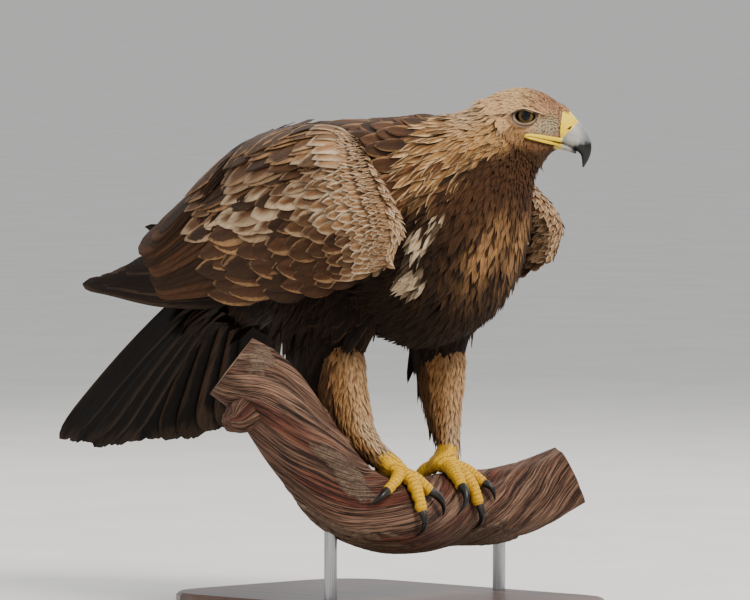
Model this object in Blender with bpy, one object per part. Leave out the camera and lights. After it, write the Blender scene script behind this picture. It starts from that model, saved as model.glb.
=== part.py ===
"""Golden eagle, life size: it leans forward on a cut length of branch that a display stand holds up.

Metres, +Z up. The bird faces +X with its left side towards +Y, and its head is turned to its left.
The bird and branch are modelled about a point between the feet, level with the soles, and an empty
then lifts them above the stand, whose underside is centred on the world origin.
"""

import math
import random

import bmesh
import bpy
import numpy as np
from mathutils import Matrix, Vector

# Driving sizes
GAP = 0.0003
SOLE_HEIGHT = 0.140
STANCE_SHIFT = (0.045, 0.012)
BASE_LENGTH, BASE_WIDTH, BASE_THICKNESS = 0.400, 0.280, 0.018
BASE_CORNER, BASE_EDGE = 0.060, 0.003
ROD_RADIUS = 0.0065
BRANCH_RADIUS = 0.037
TAIL_LENGTH = 0.305
EYE_RADIUS = 0.0112
MM = 0.001

# Feather sizes: length, full width, height of the tip over the feathers below
TAIL_FEATHER_WIDTH = 0.054
BLADE_THICKNESS = 0.0012
EDGE_THICKNESS = 0.0006

# Colours
DARK_BROWN = (0.045, 0.022, 0.013)
WING_BROWN = (0.13, 0.075, 0.045)
GOLD_BROWN = (0.42, 0.22, 0.09)
LEG_TAN = (0.45, 0.24, 0.10)
TAIL_BLACK = (0.018, 0.014, 0.012)
TOE_YELLOW = (0.85, 0.62, 0.08)
HORN_GREY = (0.16, 0.17, 0.19)
CLAW_BLACK = (0.012, 0.012, 0.013)
EYE_BROWN = (0.28, 0.16, 0.05)
BARK_GREY = (0.36, 0.26, 0.20)
STAND_WOOD = (0.06, 0.035, 0.022)
ROD_STEEL = (0.45, 0.45, 0.46)


def clear_scene():
    for obj in list(bpy.data.objects):
        bpy.data.objects.remove(obj)


def material(name, colour, roughness=0.8, metallic=0.0):
    made = bpy.data.materials.new(name)
    made.use_nodes = True
    shader = made.node_tree.nodes["Principled BSDF"]
    shader.inputs["Base Color"].default_value = (*colour, 1.0)
    shader.inputs["Roughness"].default_value = roughness
    shader.inputs["Metallic"].default_value = metallic
    return made


def vector(*parts):
    return np.array(parts, float)


def unit(v):
    return v / np.linalg.norm(v)


def smooth_step(t):
    t = min(max(t, 0.0), 1.0)
    return t * t * (3 - 2 * t)


# Curves and patches

def along(rows, t):
    """A smooth curve through evenly spaced rows of numbers, carried straight on past both ends."""
    rows = np.asarray(rows, float)
    last = len(rows) - 1
    inside = min(max(t, 0.0), 1.0)
    i = min(int(inside * last), last - 1)
    f = inside * last - i
    p1, p2 = rows[i], rows[i + 1]
    p0 = rows[i - 1] if i > 0 else 2 * p1 - p2
    p3 = rows[i + 2] if i + 2 <= last else 2 * p2 - p1
    m1, m2 = (p2 - p0) / 2, (p3 - p1) / 2
    f2, f3 = f * f, f * f * f
    value = (2 * f3 - 3 * f2 + 1) * p1 + (f3 - 2 * f2 + f) * m1
    value = value + (3 * f2 - 2 * f3) * p2 + (f3 - f2) * m2
    return value + (t - inside) * last * (m1 if t < inside else m2)


def patch_of(grid):
    """A smooth surface through a grid of points: a runs from the first row to the last, b along each row."""
    def surface(a, b):
        return along([along(row, b) for row in grid], a)
    return surface


def normal_of(surface, a, b, step=0.004):
    across = surface(a + step, b) - surface(a - step, b)
    down = surface(a, b + step) - surface(a, b - step)
    return unit(np.cross(across, down))


# Closed meshes

def mesh_object(name, points, faces, smooth=True):
    mesh = bpy.data.meshes.new(name)
    mesh.from_pydata([tuple(p) for p in points], [], faces)
    mesh.validate()
    if smooth:
        mesh.shade_smooth()
    obj = bpy.data.objects.new(name, mesh)
    bpy.context.scene.collection.objects.link(obj)
    return obj


def rings_to_mesh(rings):
    """Points and triangles of a tube through rings of equal count, closed at both ends by a fan."""
    count = len(rings[0])
    points = [p for ring in rings for p in ring]
    points += [np.mean(rings[0], axis=0), np.mean(rings[-1], axis=0)]
    first, last = len(points) - 2, len(points) - 1
    faces = []
    for i in range(len(rings) - 1):
        for j in range(count):
            k = (j + 1) % count
            a, b = i * count + j, i * count + k
            c, d = a + count, b + count
            faces += [(a, b, d), (a, d, c)]
    end = (len(rings) - 1) * count
    for j in range(count):
        k = (j + 1) % count
        faces += [(first, k, j), (last, end + j, end + k)]
    return points, faces


def facing_out(obj):
    """Turns every face of a closed mesh outwards."""
    made = bmesh.new()
    made.from_mesh(obj.data)
    bmesh.ops.recalc_face_normals(made, faces=made.faces)
    if made.calc_volume(signed=True) < 0:
        bmesh.ops.reverse_faces(made, faces=made.faces)
    made.to_mesh(obj.data)
    made.free()
    return obj


def tube(name, rings):
    return facing_out(mesh_object(name, *rings_to_mesh(rings)))


def ellipsoid(name, centre, radii, frame=Matrix.Identity(3), rings=7, around=12):
    """A closed egg with its axes along the columns of a rotation matrix."""
    made = []
    for i in range(rings):
        angle = math.pi * (i + 0.5) / rings
        row = []
        for j in range(around):
            turn = 2 * math.pi * j / around
            local = Vector((
                radii[0] * math.cos(angle),
                radii[1] * math.sin(angle) * math.cos(turn),
                radii[2] * math.sin(angle) * math.sin(turn),
            ))
            row.append(vector(*centre) + vector(*(frame @ local)))
        made.append(row)
    return tube(name, made)


def round_tube(name, points, radii, sides=8, flatten=1.0):
    """A tube along points, with a radius at each, squashed towards the last axis by flatten."""
    points = [vector(*p) for p in points]
    side = None
    rings = []
    for i, point in enumerate(points):
        ahead = unit(points[min(i + 1, len(points) - 1)] - points[max(i - 1, 0)])
        if side is None:
            side = unit(np.cross(ahead, vector(0.03, 0.02, 1.0)))
        side = unit(side - ahead * (side @ ahead))
        up = np.cross(side, ahead)
        turns = [2 * math.pi * j / sides for j in range(sides)]
        rings.append([
            point + radii[i] * (side * math.cos(q) + up * math.sin(q) * flatten) for q in turns
        ])
    return tube(name, rings)


def apply_boolean(obj, operation, others):
    """Joins or cuts obj by closed meshes, which are then removed."""
    group = bpy.data.collections.new(obj.name + "_" + operation.lower())
    bpy.context.scene.collection.children.link(group)
    for other in others:
        bpy.context.scene.collection.objects.unlink(other)
        group.objects.link(other)
    modifier = obj.modifiers.new(operation.title(), "BOOLEAN")
    modifier.operation = operation
    modifier.operand_type = "COLLECTION"
    modifier.collection = group
    modifier.solver = "MANIFOLD"
    bpy.context.view_layer.update()
    graph = bpy.context.evaluated_depsgraph_get()
    made = bpy.data.meshes.new_from_object(obj.evaluated_get(graph), depsgraph=graph)
    made.name = obj.name
    obj.modifiers.clear()
    obj.data = made
    for other in list(group.objects):
        bpy.data.objects.remove(other)
    bpy.data.collections.remove(group)
    return obj


def paint(obj, finish):
    obj.data.materials.clear()
    obj.data.materials.append(finish)
    for face in obj.data.polygons:
        face.material_index = 0
    return obj


def keep_largest(obj, flat=1.0):
    """Keeps only the closed surface that holds the most volume, and merges triangles that lie flat."""
    made = bmesh.new()
    made.from_mesh(obj.data)
    bmesh.ops.remove_doubles(made, verts=made.verts, dist=0.02 * MM)
    if flat:
        bmesh.ops.dissolve_limit(
            made, angle_limit=math.radians(flat), verts=made.verts, edges=made.edges,
        )
    bmesh.ops.triangulate(made, faces=made.faces, quad_method="BEAUTY", ngon_method="BEAUTY")
    left, islands = set(made.verts), []
    while left:
        start = left.pop()
        island, edge = {start}, [start]
        while edge:
            for link in edge.pop().link_edges:
                for v in link.verts:
                    if v not in island:
                        island.add(v)
                        edge.append(v)
        left -= island
        islands.append(island)
    def volume(island):
        faces = {f for v in island for f in v.link_faces}
        return abs(sum(
            f.verts[0].co.dot(f.verts[1].co.cross(f.verts[2].co)) for f in faces
        ))
    best = max(islands, key=volume)
    bmesh.ops.delete(made, geom=[v for v in made.verts if v not in best], context="VERTS")
    made.to_mesh(obj.data)
    made.free()
    obj.data.shade_smooth()
    obj.data.set_sharp_from_angle(angle=math.radians(35))
    return obj


def sheet_solid(name, outer, inner, rows, columns):
    """A closed sheet between two grids of points."""
    wide, under = columns + 1, len(outer)
    faces = []
    for i in range(rows):
        for j in range(columns):
            p, q = i * wide + j, i * wide + j + 1
            r, s = p + wide, q + wide
            faces += [(p, q, s), (p, s, r)]
            faces += [(under + p, under + s, under + q), (under + p, under + r, under + s)]
    border = list(range(wide))
    border += [i * wide + columns for i in range(1, rows + 1)]
    border += [rows * wide + j for j in range(columns - 1, -1, -1)]
    border += [i * wide for i in range(rows - 1, 0, -1)]
    for k, p in enumerate(border):
        q = border[(k + 1) % len(border)]
        faces += [(p, q, under + q), (p, under + q, under + p)]
    return facing_out(mesh_object(name, outer + inner, faces))


# One feather

def round_tip(t):
    """Width share of a covert or flight feather, from its root to its rounded tip."""
    root = 0.45 + 0.55 * smooth_step(t / 0.35)
    tip = math.sqrt(max(0.0, 1 - max(0.0, (t - 0.72) / 0.29) ** 2.4))
    return root * max(tip, 0.22)


def long_tip(t):
    """Width share of a primary, which narrows over its outer half."""
    root = 0.5 + 0.5 * smooth_step(t / 0.3)
    return root * (1 - 0.62 * smooth_step((t - 0.5) / 0.5)) * (1 if t < 0.99 else 0.5)


def hackle_tip(t):
    """Width share of a pointed nape feather."""
    return (0.5 + 0.5 * smooth_step(t / 0.3)) * max(0.12, 1 - max(0.0, (t - 0.35) / 0.68) ** 1.4)


def vane(name, surface, root, length, width, flow, *, sunk=2.5 * MM, lift=2.5 * MM, rise=0.45,
         roll=0.0, steps=4, ridge=False, outline=round_tip, curl=0.0):
    """A feather blade that follows a surface: root is its place (a, b), and flow(a, b) its direction.

    Its root lies sunk under the surface, and by the share rise of its length it is lift above it.
    roll tilts it about its own line, so that neighbours overlap without crossing.
    """
    a, b = root
    small = 0.002
    stations = []
    shares = {2: (0, 0.66, 1), 3: (0, 0.4, 0.8, 1), 4: (0, 0.3, 0.6, 0.88, 1)}.get(
        steps, [i / steps for i in range(steps + 1)]
    )
    pieces = 25
    marks = [round(share * pieces) for share in shares]
    stride = length / pieces
    for i in range(pieces + 1):
        da = (surface(a + small, b) - surface(a - small, b)) / (2 * small)
        db = (surface(a, b + small) - surface(a, b - small)) / (2 * small)
        fa, fb = flow(a, b)
        ahead = da * fa + db * fb
        scale = np.linalg.norm(ahead)
        if i in marks:
            ahead = ahead / scale
            up = unit(np.cross(da, db))
            side = np.cross(up, ahead)
            metric = np.linalg.lstsq(np.stack([da, db], 1), side, rcond=None)[0]
            stations.append((a, b, metric))
        a, b = a + fa / scale * stride, b + fb / scale * stride
    columns = (-0.5, 0.0, 0.5) if ridge else (-0.5, 0.5)
    top, bottom = [], []
    for i, (a, b, metric) in enumerate(stations):
        t = shares[i]
        height = -sunk + (sunk + lift) * smooth_step(t / rise) + curl * t * t
        thin = 1.0 if t < 0.99 else 0.6
        for share in columns:
            x = share * width * outline(t)
            sa, sb = a + metric[0] * x, b + metric[1] * x
            up = normal_of(surface, sa, sb)
            thick = (BLADE_THICKNESS if share == 0.0 else EDGE_THICKNESS) * thin
            place = surface(sa, sb) + up * (height + x * roll)
            top.append(place + up * thick)
            bottom.append(place)
    points = top + bottom
    wide = len(columns)
    under = len(top)
    faces = []
    for i in range(steps):
        for j in range(wide - 1):
            p, q = i * wide + j, i * wide + j + 1
            r, s = p + wide, q + wide
            faces += [(p, q, s), (p, s, r)]
            faces += [(under + p, under + s, under + q), (under + p, under + r, under + s)]
        p, r = i * wide, (i + 1) * wide
        faces += [(p, r, under + r), (p, under + r, under + p)]
        q, s = p + wide - 1, r + wide - 1
        faces += [(q, under + s, s), (q, under + q, under + s)]
    last = steps * wide
    for j in range(wide - 1):
        p, q = j, j + 1
        faces += [(p, under + q, q), (p, under + p, under + q)]
        p, q = last + j, last + j + 1
        faces += [(p, q, under + q), (p, under + q, under + p)]
    return facing_out(mesh_object(name, points, faces))


# The trunk of the body, from the tail root to the back of the head

# x, y and z of the centre, pitch and yaw of the section in degrees, half width, half height, in mm
BODY = [
    (-262, 0, 256, 26, 0, 28, 27),
    (-232, 0, 262, 20, 0, 46, 50),
    (-188, 0, 261, 14, 0, 68, 77),
    (-130, 0, 253, 8, 0, 86, 95),
    (-65, 0, 245, 3, 0, 97, 107),
    (-8, 0, 242, 1, 0, 101, 115),
    (38, 0, 256, 10, 0, 95, 106),
    (62, 3, 287, 24, 4, 78, 82),
    (76, 10, 314, 36, 13, 58, 62),
    (84, 17, 331, 41, 26, 45, 51),
    (91.5, 24, 343.5, 41, 38, 37, 44.5),
]
NECK_START, HEAD_START = 0.66, 1.0

# Rows of hackles on the neck: place along the trunk, count, length in metres, share of a turn to each side
HACKLES = [(0.965, 7, 0.036, 0.31), (0.895, 8, 0.044, 0.34), (0.820, 9, 0.050, 0.36)]
# Rows of feathers on the back: place along the trunk, count, share of a turn to each side
MANTLE = [(0.545, 5, 0.130), (0.455, 4, 0.110), (0.365, 3, 0.080)]
RANDOM = random.Random(11)
HEAD_CENTRE = vector(0.102, 0.032, 0.359)
HEAD_YAW = math.radians(38)


def section_frame(pitch, yaw):
    """Forward, left and up axes of a section."""
    ahead = vector(
        math.cos(pitch) * math.cos(yaw), math.cos(pitch) * math.sin(yaw), math.sin(pitch)
    )
    left = vector(-math.sin(yaw), math.cos(yaw), 0)
    return ahead, left, np.cross(ahead, left)


def body_axes(s):
    """Centre, axes and half sizes of the trunk's section at s, from 0 at the tail to 1 at the head."""
    x, y, z, pitch, yaw, wide, tall = along(BODY, s)
    axes = section_frame(math.radians(pitch), math.radians(yaw))
    return vector(x, y, z) * MM, axes, wide * MM, tall * MM


def body_point(s, turn, grow=0.0):
    """A point of the trunk's skin: turn 0 is the back, a quarter the bird's right side, a half the belly."""
    centre, (_, left, up), wide, tall = body_axes(s)
    angle = 2 * math.pi * turn
    across = -math.sin(angle) * (1 + 0.07 * math.cos(angle))
    return centre + left * across * (wide + grow) + up * math.cos(angle) * (tall + grow)


def body_solid(name, start, end, rings, around, grow=0.0, start_gap=0.0, reach=0.0):
    """A length of the trunk, grown outwards, and carried on by reach past both of its ends."""
    made = []
    for i in range(rings + 1):
        s = start + (end - start) * i / rings
        shift = body_axes(s)[1][0] * start_gap if i == 0 else 0.0
        made.append([body_point(s, j / around, grow) + shift for j in range(around)])
    if reach:
        made.insert(0, [p - body_axes(start)[1][0] * reach for p in made[0]])
        made.append([p + body_axes(end)[1][0] * reach for p in made[-1]])
    return tube(name, made)


# The head, in its own frame: x towards the bill, y to the bird's left, z up, about the eye's height

# Top and bottom points of each section in the head's profile, and its half width, in mm
HEAD = [
    ((-30, 24.4), (16.4, -46.5), 36.5),
    ((-16, 28.6), (17.8, -44.6), 35.0),
    ((-4, 29.6), (19.2, -42.8), 32.8),
    ((6, 28.4), (21.0, -40.4), 30.4),
    ((15, 25.4), (23.6, -37.4), 27.2),
    ((23, 21.6), (26.4, -35.0), 23.6),
    ((31, 16.4), (29.2, -33.4), 19.6),
    ((38.2, 11.2), (31.6, -32.4), 17.0),
    ((44.4, 5.4), (33.4, -31.8), 14.8),
]
CERE = [
    ((44.7, 5.0), (33.8, -25.0), 14.5),
    ((47.6, 1.6), (36, -25.6), 13.8),
    ((50.6, -2.0), (38, -26.4), 12.8),
]
BILL = [
    ((50.6, -2.0), (38, -26.4), 12.8),
    ((55.0, -6.6), (41.5, -28.2), 11.6),
    ((59.4, -12.2), (45.2, -30.2), 10.2),
    ((63.2, -19.0), (49.0, -32.4), 8.4),
    ((65.4, -26.5), (52.6, -34.8), 6.5),
    ((65.2, -34.0), (55.0, -37.6), 4.7),
    ((62.8, -41.6), (56.1, -42.2), 2.8),
    ((58.1, -49.4), (56.5, -49.6), 0.9),
]
LOWER_BILL = [
    ((19.0, -23.6), (21.0, -31.4), 12.6),
    ((27.0, -24.0), (28.0, -32.0), 11.9),
    ((35.0, -24.6), (35.4, -32.6), 10.6),
    ((42.5, -26.0), (42.4, -34.2), 8.4),
    ((51.0, -31.5), (50.0, -36.4), 4.6),
]
EYE = (3.4, 16.2, 2.8)
# The yellow edges of the mouth: x, z and radius along the upper and the lower one, and the brow ridge:
# x, z, radius and how far it stands out
UPPER_LIP = [(2.6, -17.7, 1.2), (7, -16.9, 1.5), (13, -17.8, 1.8), (22, -19.4, 2.0), (31, -21.3, 2.2),
             (38, -22.8, 2.2)]
LOWER_LIP = [(2.6, -17.9, 1.2), (7, -19.9, 1.1), (13, -21.4, 1.3), (22, -23.8, 1.5), (31, -26.1, 1.6),
             (37, -27.9, 1.6)]
BROW = [(-9, 11.0, 2.0, -1.2), (-3, 12.4, 3.0, -0.4), (5, 11.8, 3.6, 0.6), (12.5, 9.2, 3.6, 1.2),
        (20, 6.2, 3.0, 0.6), (27, 4.6, 1.6, -1.0)]


def head_place(x, y, z):
    """A point of the head's frame, in mm, in the bird's frame."""
    ahead = vector(math.cos(HEAD_YAW), math.sin(HEAD_YAW), 0)
    left = vector(-math.sin(HEAD_YAW), math.cos(HEAD_YAW), 0)
    return HEAD_CENTRE + (ahead * x + left * y + vector(0, 0, z)) * MM


def profile_ring(section, around, squareness=1.0, grow=0.0, narrow_top=0.12):
    """A ring through a section's top and bottom points, grown outwards by grow, in mm."""
    (top_x, top_z), (low_x, low_z), wide = section
    half = math.hypot(top_x - low_x, top_z - low_z) / 2
    stretch = (half + grow) / half
    ring = []
    for j in range(around):
        angle = 2 * math.pi * j / around
        rise = math.cos(angle)
        out = -math.copysign(abs(math.sin(angle)) ** squareness, math.sin(angle))
        x = (top_x + low_x) / 2 + (top_x - low_x) / 2 * rise * stretch
        z = (top_z + low_z) / 2 + (top_z - low_z) / 2 * rise * stretch
        ring.append(head_place(x, out * (wide + grow) * (1 - narrow_top * rise), z))
    return ring


def profile_solid(name, sections, around, count, squareness=1.0, narrow_top=0.12, grow=0.0, gap=0.0):
    """A solid through sections of the head's profile. gap moves its first ring forward, or back if grown."""
    flat = [(*top, *low, wide) for top, low, wide in sections]
    rings = []
    for i in range(count + 1):
        tx, tz, lx, lz, wide = along(flat, i / count)
        ring = profile_ring(((tx, tz), (lx, lz), wide), around, squareness, grow, narrow_top)
        shift = (gap if i == 0 else grow if i == count and grow else 0.0)
        if i == 0 and grow:
            shift = -grow
        step = head_place(shift, 0, 0) - head_place(0, 0, 0)
        rings.append([p + step for p in ring])
    return tube(name, rings)


def head_side(x, z):
    """Half the head's width at a place in its profile, in mm."""
    best = None
    flat = [(*top, *low, wide) for top, low, wide in HEAD]
    for i in range(61):
        tx, tz, lx, lz, wide = along(flat, i / 60)
        rise = ((z - tz) * (tz - lz) + (x - tx) * (tx - lx)) / ((tz - lz) ** 2 + (tx - lx) ** 2) * 2 + 1
        rise = min(max(rise, -0.98), 0.98)
        px = (tx + lx) / 2 + (tx - lx) / 2 * rise
        pz = (tz + lz) / 2 + (tz - lz) / 2 * rise
        miss = math.hypot(px - x, pz - z)
        if best is None or miss < best[0]:
            best = (miss, (1 - rise * rise) ** 0.46 * wide * (1 - 0.1 * rise))
    return best[1]


def neck_end_ring(around):
    """The neck's last ring in the trunk's own section, which the head starts from."""
    return [body_point(HEAD_START, j / around) for j in range(around)]


def head_turn():
    return Matrix.Rotation(HEAD_YAW, 3, "Z")


def face_tube(name, rows, side, sunk, grow=0.0, squash=1.0):
    """A ridge along the side of the head, through rows of x, z, radius and, if any, its stand-out."""
    points, radii = [], []
    for row in rows:
        out = row[3] if len(row) > 3 else 0.0
        points.append(head_place(row[0], side * (head_side(row[0], row[1]) - sunk + out), row[1]))
        radii.append((row[2] + grow) * MM)
    return round_tube(name, points, radii, 6, squash)


def build_head(materials):
    around = 20
    flat = [(*top, *low, wide) for top, low, wide in HEAD]
    ahead = body_axes(HEAD_START)[1][0]
    rings = [[p + ahead * GAP for p in neck_end_ring(around)]]
    for i in range(9):
        tx, tz, lx, lz, wide = along(flat, i / 8)
        rings.append(profile_ring(((tx, tz), (lx, lz), wide), around, 0.92, 0.0, 0.10))
    head = tube("head", rings)
    eye_x, eye_y, eye_z = EYE
    orbits, added, cut = [], [], []
    for side in (1, -1):
        added.append(face_tube("brow", BROW, side, 1.8, 0.0, 0.8))
        orbits.append(ellipsoid("orbit", head_place(eye_x + 0.5, side * 29.0, eye_z - 1.0),
                                (0.0142, 0.0062, 0.0112), head_turn(), 5, 10))
        lids = []
        for k in range(12):
            turn = 2 * math.pi * k / 12
            lids.append(head_place(
                eye_x - 0.8 + 10.7 * math.cos(turn), side * (eye_y + 9.0 - 1.6 * math.cos(turn)),
                eye_z + 8.4 * math.sin(turn)
            ))
        added.append(lid_ring("lids", lids, 1.7 * MM, 5))
        cut.append(ellipsoid("socket", head_place(eye_x, side * eye_y, eye_z), (EYE_RADIUS + GAP,) * 3,
                             head_turn(), 7, 12))
        cut.append(face_tube("upper_lip_cut", UPPER_LIP, side, 0.5, 0.35))
        cut.append(face_tube("lower_lip_cut", LOWER_LIP, side, 0.5, 0.35))
    cut.append(profile_solid("cere_cut", CERE, 14, 3, 0.9, 0.25, 0.35))
    cut.append(profile_solid("lower_cut", LOWER_BILL, 10, 4, 0.9, 0.0, 0.35))
    apply_boolean(head, "DIFFERENCE", orbits)
    apply_boolean(head, "UNION", added)
    apply_boolean(head, "DIFFERENCE", cut)
    paint(head, materials["gold"])
    return keep_largest(head, 3.0)


def lid_ring(name, points, radius, sides=6):
    """A closed ring of lid round the eye."""
    points = [vector(*p) for p in points]
    centre = np.mean(points, axis=0)
    rings = []
    count = len(points)
    for i, point in enumerate(points):
        ahead = unit(points[(i + 1) % count] - points[i - 1])
        out = unit(point - centre)
        side = np.cross(ahead, out)
        rings.append([
            point + radius * (out * math.cos(q) + side * math.sin(q))
            for q in (2 * math.pi * j / sides for j in range(sides))
        ])
    verts = [p for ring in rings for p in ring]
    faces = []
    for i in range(count):
        for j in range(sides):
            k, n = (j + 1) % sides, (i + 1) % count
            a, b = i * sides + j, i * sides + k
            c, d = n * sides + j, n * sides + k
            faces += [(a, b, d), (a, d, c)]
    return facing_out(mesh_object(name, verts, faces))


def lower_bill_solid(name, grow=0.0):
    return profile_solid(name, LOWER_BILL, 10, 4, 0.9, 0.0, grow)


def build_bill(materials):
    lower = lower_bill_solid("bill_lower")
    cere = profile_solid("cere", CERE, 14, 3, 0.9, 0.25)
    bill = profile_solid("bill_upper", BILL, 14, 10, 0.9, 0.3, 0.0, GAP / MM)
    lips = [face_tube("lip", line, side, 0.5) for line in (UPPER_LIP, LOWER_LIP) for side in (1, -1)]
    apply_boolean(cere, "UNION", lips)
    slant = head_turn() @ Matrix.Rotation(math.radians(-34), 3, "Y")
    cut = [lower_bill_solid("lower_cut", 0.35), profile_solid("bill_cut", BILL, 14, 10, 0.9, 0.3, 0.3)]
    for side in (1, -1):
        cut.append(ellipsoid("nostril", head_place(43.9, side * 12.9, -10.6), (0.0033, 0.0024, 0.0012),
                             slant, 4, 8))
    apply_boolean(cere, "DIFFERENCE", cut)
    apply_boolean(lower, "DIFFERENCE", [profile_solid("bill_cut", BILL, 14, 10, 0.9, 0.3, 0.35)])
    paint(cere, materials["yellow"])
    paint(bill, materials["horn"])
    paint(lower, materials["horn"])
    return [keep_largest(cere, 3.0), keep_largest(bill), keep_largest(lower, 2.0)]


def build_eyes(materials):
    eyes = []
    for side, name in ((1, "eye_left"), (-1, "eye_right")):
        eye = ellipsoid(name, head_place(EYE[0], side * EYE[1], EYE[2]), (EYE_RADIUS,) * 3,
                        head_turn(), 7, 12)
        eyes.append(paint(eye, materials["eye"]))
    return eyes


# The neck and its golden hackles

def neck_flow(a, b):
    """Hackles run from the head towards the back, and the ones on the sides droop."""
    return -1.0, 0.10 * math.sin(4 * math.pi * b)


def body_skin(a, b):
    """The trunk's skin: a runs forward along it, and b is the turn from the back to the bird's left."""
    return body_point(a, -b)


def build_neck(materials):
    neck = body_solid("neck", NECK_START, HEAD_START, 6, 20, 0.0, GAP)
    hackles = []
    for row, (s, count, length, reach) in enumerate(HACKLES):
        for k in range(count):
            share = (k + 0.5) / count - 0.5 + 0.2 * (row % 2 - 0.5) / count
            hackles.append(vane(
                "hackle", body_skin, (s + RANDOM.uniform(-0.006, 0.006), 2 * reach * share),
                length * RANDOM.uniform(0.94, 1.06), 0.0210, neck_flow, sunk=2.5 * MM,
                lift=(1.9 + 0.2 * row) * MM, roll=0.085, steps=2, outline=hackle_tip, rise=0.6,
            ))
    apply_boolean(neck, "UNION", hackles)
    apply_boolean(neck, "DIFFERENCE", [torso_cut()])
    paint(neck, materials["gold"])
    return keep_largest(neck, 2.0)


def build_torso(materials):
    torso = body_solid("torso", 0.0, NECK_START, 10, 20)
    mantle = []
    for row, (s, count, reach) in enumerate(MANTLE):
        for k in range(count):
            share = (k + 0.5) / count - 0.5
            mantle.append(vane(
                "mantle", body_skin, (s, 2 * reach * share), 0.056 * RANDOM.uniform(0.95, 1.06), 0.032,
                neck_flow, sunk=2.5 * MM, lift=1.8 * MM, roll=0.085, steps=2, rise=0.6,
            ))
    apply_boolean(torso, "UNION", mantle)
    paint(torso, materials["dark"])
    return keep_largest(torso)


def torso_cut(grow=GAP * 1.4):
    return body_solid("torso_cut", 0.0, NECK_START, 10, 20, grow)


def neck_cut(grow=4.8 * MM):
    """The room that the neck's hackles need."""
    return body_solid("neck_cut", 0.53, HEAD_START, 8, 20, grow)


def mantle_cut():
    """The room over the back that the torso's own feathers need."""
    rows, columns = 8, 8
    top, low = [], []
    for i in range(rows + 1):
        for j in range(columns + 1):
            s, turn = 0.27 + 0.33 * i / rows, -0.16 + 0.32 * j / columns
            top.append(body_skin(s, turn) + (body_point(s, -turn, 4.6 * MM) - body_point(s, -turn)))
            low.append(body_point(s, -turn, -6 * MM))
    return sheet_solid("mantle_cut", top, low, rows, columns)


# Folded wings: rows from the leading edge back to the wing tip, each from the back down to the lower edge, mm

WING = [
    [(-38, -60, 340), (2, -88, 322), (46, -109, 288), (74, -121, 250), (60, -121, 214)],
    [(-95, -40, 353), (-60, -88, 337), (-24, -121, 293), (0, -132, 241), (-6, -124, 191)],
    [(-165, -22, 355), (-140, -78, 334), (-115, -114, 289), (-96, -124, 236), (-86, -117, 180)],
    [(-245, -14, 337), (-229, -58, 315), (-212, -90, 275), (-200, -102, 228), (-190, -98, 173)],
    [(-328, -14, 288), (-325, -38, 268), (-325, -60, 240), (-325, -72, 208), (-325, -72, 173)],
    [(-405, -14, 240), (-425, -24, 224), (-445, -32, 209), (-462, -38, 193), (-476, -40, 177)],
]
LEFT_TIP_LIFT = 0.057

# Each tier: first and last root (a, b), count, first and last length and width in mm, height of the tips
# in mm over the wing's surface, and the share of its neighbour that each blade is tipped over
WING_TIERS = [
    ("primary", (0.49, 0.56), (0.545, 0.975), 5, (236, 300), (32, 34), 0.2),
    ("secondary", (0.48, 0.22), (0.50, 0.86), 6, (214, 186), (48, 42), 1.6),
    ("tertial", (0.45, 0.02), (0.46, 0.12), 2, (192, 205), (46, 46), 3.0),
    ("greater", (0.36, 0.05), (0.40, 0.95), 7, (88, 88), (46, 36), 4.6),
    ("median", (0.235, 0.05), (0.26, 0.94), 6, (74, 60), (46, 36), 5.8),
    ("lesser_b", (0.125, 0.08), (0.13, 0.92), 5, (58, 48), (46, 36), 5.2),
    ("lesser_a", (0.02, 0.12), (0.02, 0.90), 4, (52, 42), (44, 36), 3.6),
]


def wing_flow(a, b):
    """Feathers run back along the wing, and away from its lower edge they slant down across it."""
    slant = 0.35 + 1.55 * smooth_step(a / 0.34)
    return 1.0, slant * max(0.0, 0.97 - b) ** 1.15


def wing_core(name, surface, outward):
    """The fleshy part of the wing under its feathers, thick at the shoulder and thin behind."""
    rows, columns = 6, 5
    outer, inner = [], []
    for i in range(rows + 1):
        a = 0.005 + 0.555 * i / rows
        for j in range(columns + 1):
            b = 0.03 + 0.94 * j / columns
            up = normal_of(surface, a, b) * outward
            edge = max(0.16, math.sin(math.pi * min(max(b, 0.02), 0.98))) ** 0.5
            front = smooth_step((a + 0.02) / 0.12)
            thick = (5 + 19 * (1 - smooth_step(a / 0.55))) * edge * (0.35 + 0.65 * front)
            outer.append(surface(a, b) - up * (1.2 * MM))
            inner.append(surface(a, b) - up * (1.2 + thick) * MM)
    return sheet_solid(name, outer, inner, rows, columns)


def wing_vanes(surface):
    blades = []
    for name, first, last, count, lengths, widths, lift in WING_TIERS:
        long = name in ("primary", "secondary", "tertial")
        for k in range(count):
            share = k / (count - 1)
            a = first[0] + (last[0] - first[0]) * share + RANDOM.uniform(-0.006, 0.006)
            b = first[1] + (last[1] - first[1]) * share
            length = (lengths[0] + (lengths[1] - lengths[0]) * share) * RANDOM.uniform(0.96, 1.04)
            width = widths[0] + (widths[1] - widths[0]) * share
            stack = -0.7 * (count - 1 - k) if name == "primary" else -0.15 * k
            blades.append(vane(
                name, surface, (a, b), length * MM, width * MM, wing_flow, sunk=3.4 * MM,
                lift=(lift + stack) * MM, roll=0.14, steps=4 if long else 2, ridge=long,
                outline=long_tip if name == "primary" else round_tip, rise=0.35 if long else 0.5,
            ))
    return blades


def tail_room(side):
    """Room for the edge of the tail under a wing."""
    up = tail_axes()[2]
    outer, inner = [], []
    for i in range(4):
        for j in range(4):
            p = tail_surface(0.05 + 0.18 * i, side * (0.5 + 0.36 * j))
            outer.append(p + up * 9 * MM)
            inner.append(p - up * 16 * MM)
    return sheet_solid("tail_room", outer, inner, 3, 3)


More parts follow.
